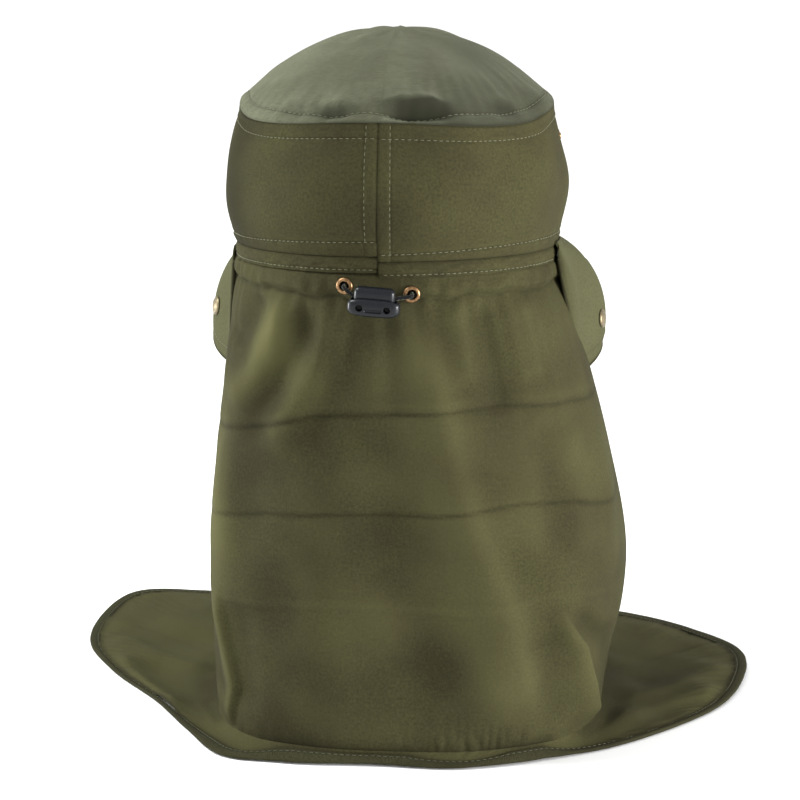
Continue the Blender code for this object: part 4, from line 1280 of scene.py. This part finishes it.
def make_drawcord(name, side, place, normal):
    route = []
    for degrees in (92, 80, 68, 56, 44, 34, 26):
        a = np.array(side * math.radians(degrees))
        route.append(Vector(hat_point(a, -3.0 * MM, hem_z(a) - 18.5 * MM)))
    route.append(place - normal * 3.7 * MM + Vector((side * 2.4 * MM, 0, 0)))
    route.append(place - normal * 2.2 * MM + Vector((side * 0.4 * MM, 0, 0)))
    route.append(place + normal * 1.2 * MM)
    route.append(place + normal * 3.2 * MM + Vector((-side * 0.9 * MM, 0, -0.8 * MM)))
    mouth = lock_frame() @ Vector((side * CORD_HOLE_X, -6 * MM, 0))
    tail = lock_frame() @ Vector((side * CORD_HOLE_X, 4.5 * MM, 0))
    route.append(mouth + Vector((side * 4.4 * MM, -2.6 * MM, 3.6 * MM)))
    route.append(mouth + Vector((side * 0.6 * MM, -1.4 * MM, 0.5 * MM)))
    route.append(mouth + Vector((0, 0.8 * MM, 0)))
    route.append(tail)
    cord = pipe(f"drawcord_cord_{name}", curved(route, 0.9 * MM), CORD_RADIUS, CORD, 12)
    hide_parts(f"drawcord_{name}")
    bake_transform(cord)


def superellipsoid(name, size, power, material):
    """A rounded block: power 2 is an ellipsoid, higher is squarer."""
    u, v = np.meshgrid(np.linspace(0, 2 * np.pi, 72, False),
                       np.linspace(-np.pi / 2, np.pi / 2, 42)[1:-1])

    def bent(value, p):
        return np.sign(value) * np.abs(value) ** (2 / p)

    x = bent(np.cos(v), power[1]) * bent(np.cos(u), power[0]) * size[0] / 2
    y = bent(np.cos(v), power[1]) * bent(np.sin(u), power[0]) * size[1] / 2
    z = bent(np.sin(v), power[1]) * size[2] / 2
    rows = stack(x, y, z)
    m, n = rows.shape[:2]
    points = np.concatenate([rows.reshape(-1, 3), [rows[0].mean(0)], [rows[-1].mean(0)]])
    faces = tube_faces(m, n)
    for j in range(n):
        k = (j + 1) % n
        faces.append((m * n, k, j))
        faces.append((m * n + 1, (m - 1) * n + j, (m - 1) * n + k))
    return plain_object(name, points, faces, material, 40)


def rounded_box(name, size, centre, radius, material, segments=5):
    """A box with its edges rounded to a radius."""
    bpy.ops.mesh.primitive_cube_add(size=1)
    obj = bpy.context.object
    obj.name = name
    for v in obj.data.vertices:
        v.co = Vector((v.co.x * size[0] + centre[0], v.co.y * size[1] + centre[1],
                       v.co.z * size[2] + centre[2]))
    modify(obj, "BEVEL", width=radius, segments=segments, limit_method="NONE")
    obj.data.materials.clear()
    obj.data.materials.append(material)
    obj.data.shade_smooth()
    obj.data.set_sharp_from_angle(angle=math.radians(40))
    return obj


def make_lock():
    place = lock_frame()
    body = superellipsoid("cord_lock_shell", LOCK_SIZE, (3.2, 3.4), PLASTIC)
    cut(body, rounded_box("pocket", (24.9 * MM, 7.5 * MM, 14 * MM), (0, 0, 3.2 * MM), 1.2 * MM,
                          PLASTIC))
    for side in SIDES.values():
        bpy.ops.mesh.primitive_cylinder_add(vertices=40, radius=1.9 * MM, depth=24 * MM,
                                            rotation=(math.pi / 2, 0, 0),
                                            location=(side * CORD_HOLE_X, 0, -0.2 * MM))
        tool = bpy.context.object
        bpy.ops.object.transform_apply(location=True, rotation=True, scale=True)
        cut(body, tool)
    cut(body, rounded_box("arch", (9.6 * MM, 2.0 * MM, 2.0 * MM), (0, 6.3 * MM, -1.4 * MM), 0.9 * MM,
                          PLASTIC))
    soften(body)
    plunger = rounded_box("cord_lock_press_bar", PRESS_BAR, (0, 0, PRESS_BAR_Z), 3.2 * MM, PLASTIC, 6)
    for side in SIDES.values():
        tool = rounded_box("notch", (3.6 * MM, 9 * MM, 6 * MM), (side * CORD_HOLE_X, 0, 1.6 * MM),
                           0.8 * MM, PLASTIC)
        cut(plunger, tool)
    soften(plunger)
    for obj, owner, node in ((body, "cord_lock", "cord_lock_body"),
                             (plunger, "cord_lock_button", "cord_lock_plunger")):
        obj.matrix_world = place
        bpy.context.view_layer.update()
        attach(obj, owner)
        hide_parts(node)
    repaint("cord_lock_spring", STEEL)


def soften(obj):
    """A fine rounding of every cut edge."""
    modify(obj, "BEVEL", width=0.25 * MM, segments=2, limit_method="ANGLE",
           angle_limit=math.radians(50))
    obj.data.shade_smooth()
    obj.data.set_sharp_from_angle(angle=math.radians(45))


def make_channel():
    drop, a = grid(np.linspace(10.5 * MM, 27 * MM, 12), np.radians(np.linspace(-98, 98, 160)))
    rows = hat_point(a, -6.6 * MM, hem_z(a) - drop)
    channel = cloth_object("drawcord_channel_cloth", rows, LINING, thickness=0.6 * MM)
    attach(channel, "hat")
    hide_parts("drawcord_channel")


# ------------------------------------------------------------------ camera, light and floor
def aim(obj, place, target):
    obj.location = place
    obj.rotation_euler = (Vector(target) - Vector(place)).to_track_quat("-Z", "Y").to_euler()


def make_camera():
    data = bpy.data.cameras.new("camera")
    camera = bpy.data.objects.new("camera", data)
    bpy.context.scene.collection.objects.link(camera)
    turn = math.radians(CAMERA_AZIMUTH)
    place = Vector((CAMERA_DISTANCE * math.sin(turn), HAT_Y - CAMERA_DISTANCE * math.cos(turn),
                    CAMERA_Z))
    aim(camera, place, (0, HAT_Y, CAMERA_AIM_Z))
    data.sensor_width = 36.0
    data.lens = CAMERA_LENS
    data.shift_x = 0.00375
    bpy.context.scene.camera = camera


def area_light(name, place, target, size, power, colour=(1, 1, 1)):
    data = bpy.data.lights.new(name, "AREA")
    data.shape = "DISK"
    data.size = size
    data.energy = power
    data.color = colour
    light = bpy.data.objects.new(name, data)
    bpy.context.scene.collection.objects.link(light)
    aim(light, place, target)


def make_stage():
    bpy.context.scene.view_settings.view_transform = "Standard"
    world = bpy.data.worlds.new("studio")
    bpy.context.scene.world = world
    world.use_nodes = True
    world.node_tree.nodes["Background"].inputs[0].default_value = (1, 1, 1, 1)
    world.node_tree.nodes["Background"].inputs[1].default_value = 1.0
    bpy.ops.mesh.primitive_plane_add(size=14, location=(0, 0, -0.0005))
    floor = bpy.context.object
    floor.name = "floor"
    nodes = Nodes("pale_floor", Roughness=0.9, Specular_IOR_Level=0.1,
                  Base_Color=(0.97, 0.97, 0.97, 1))
    floor.data.materials.append(nodes.material)
    centre = (0, HAT_Y, 0.2)
    area_light("overhead", (1.4, 0.25, 1.7), centre, 1.0, 52, (0.95, 1.0, 0.98))
    area_light("key", (-2.0, 0.6, 0.25), centre, 0.6, 84)
    area_light("edge", (1.8, -0.2, 0.12), centre, 0.6, 34)


# ------------------------------------------------------------------ the whole object
make_camera()
make_stage()
make_crown_top()
crown_lines = [dome_line()]
hem_lines = []
for side_name, sign in SIDES.items():
    make_crown_side(side_name, sign)
    crown_lines += side_lines(sign)
    hem_lines.append(make_hem_band(side_name, sign))
make_sweatband()
make_flap()
make_front()
tape_lines = make_tapes()
binding_lines = make_binding()
for piece_name, lines, thread in (
        ("crown_stitches", crown_lines, THREAD), ("hem_stitches", hem_lines, THREAD),
        ("tape_stitches", tape_lines, DARK_THREAD), ("binding_stitches", binding_lines, DARK_THREAD)):
    rows_sewn = stitches(piece_name, lines, thread)
    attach(rows_sewn, "hat")
for side_name, sign in SIDES.items():
    make_brim(side_name, sign)
    make_snaps(side_name, sign)
    ring_place, ring_normal = make_eyelet(side_name)
    make_drawcord(side_name, sign, ring_place, ring_normal)
make_channel()
make_lock()
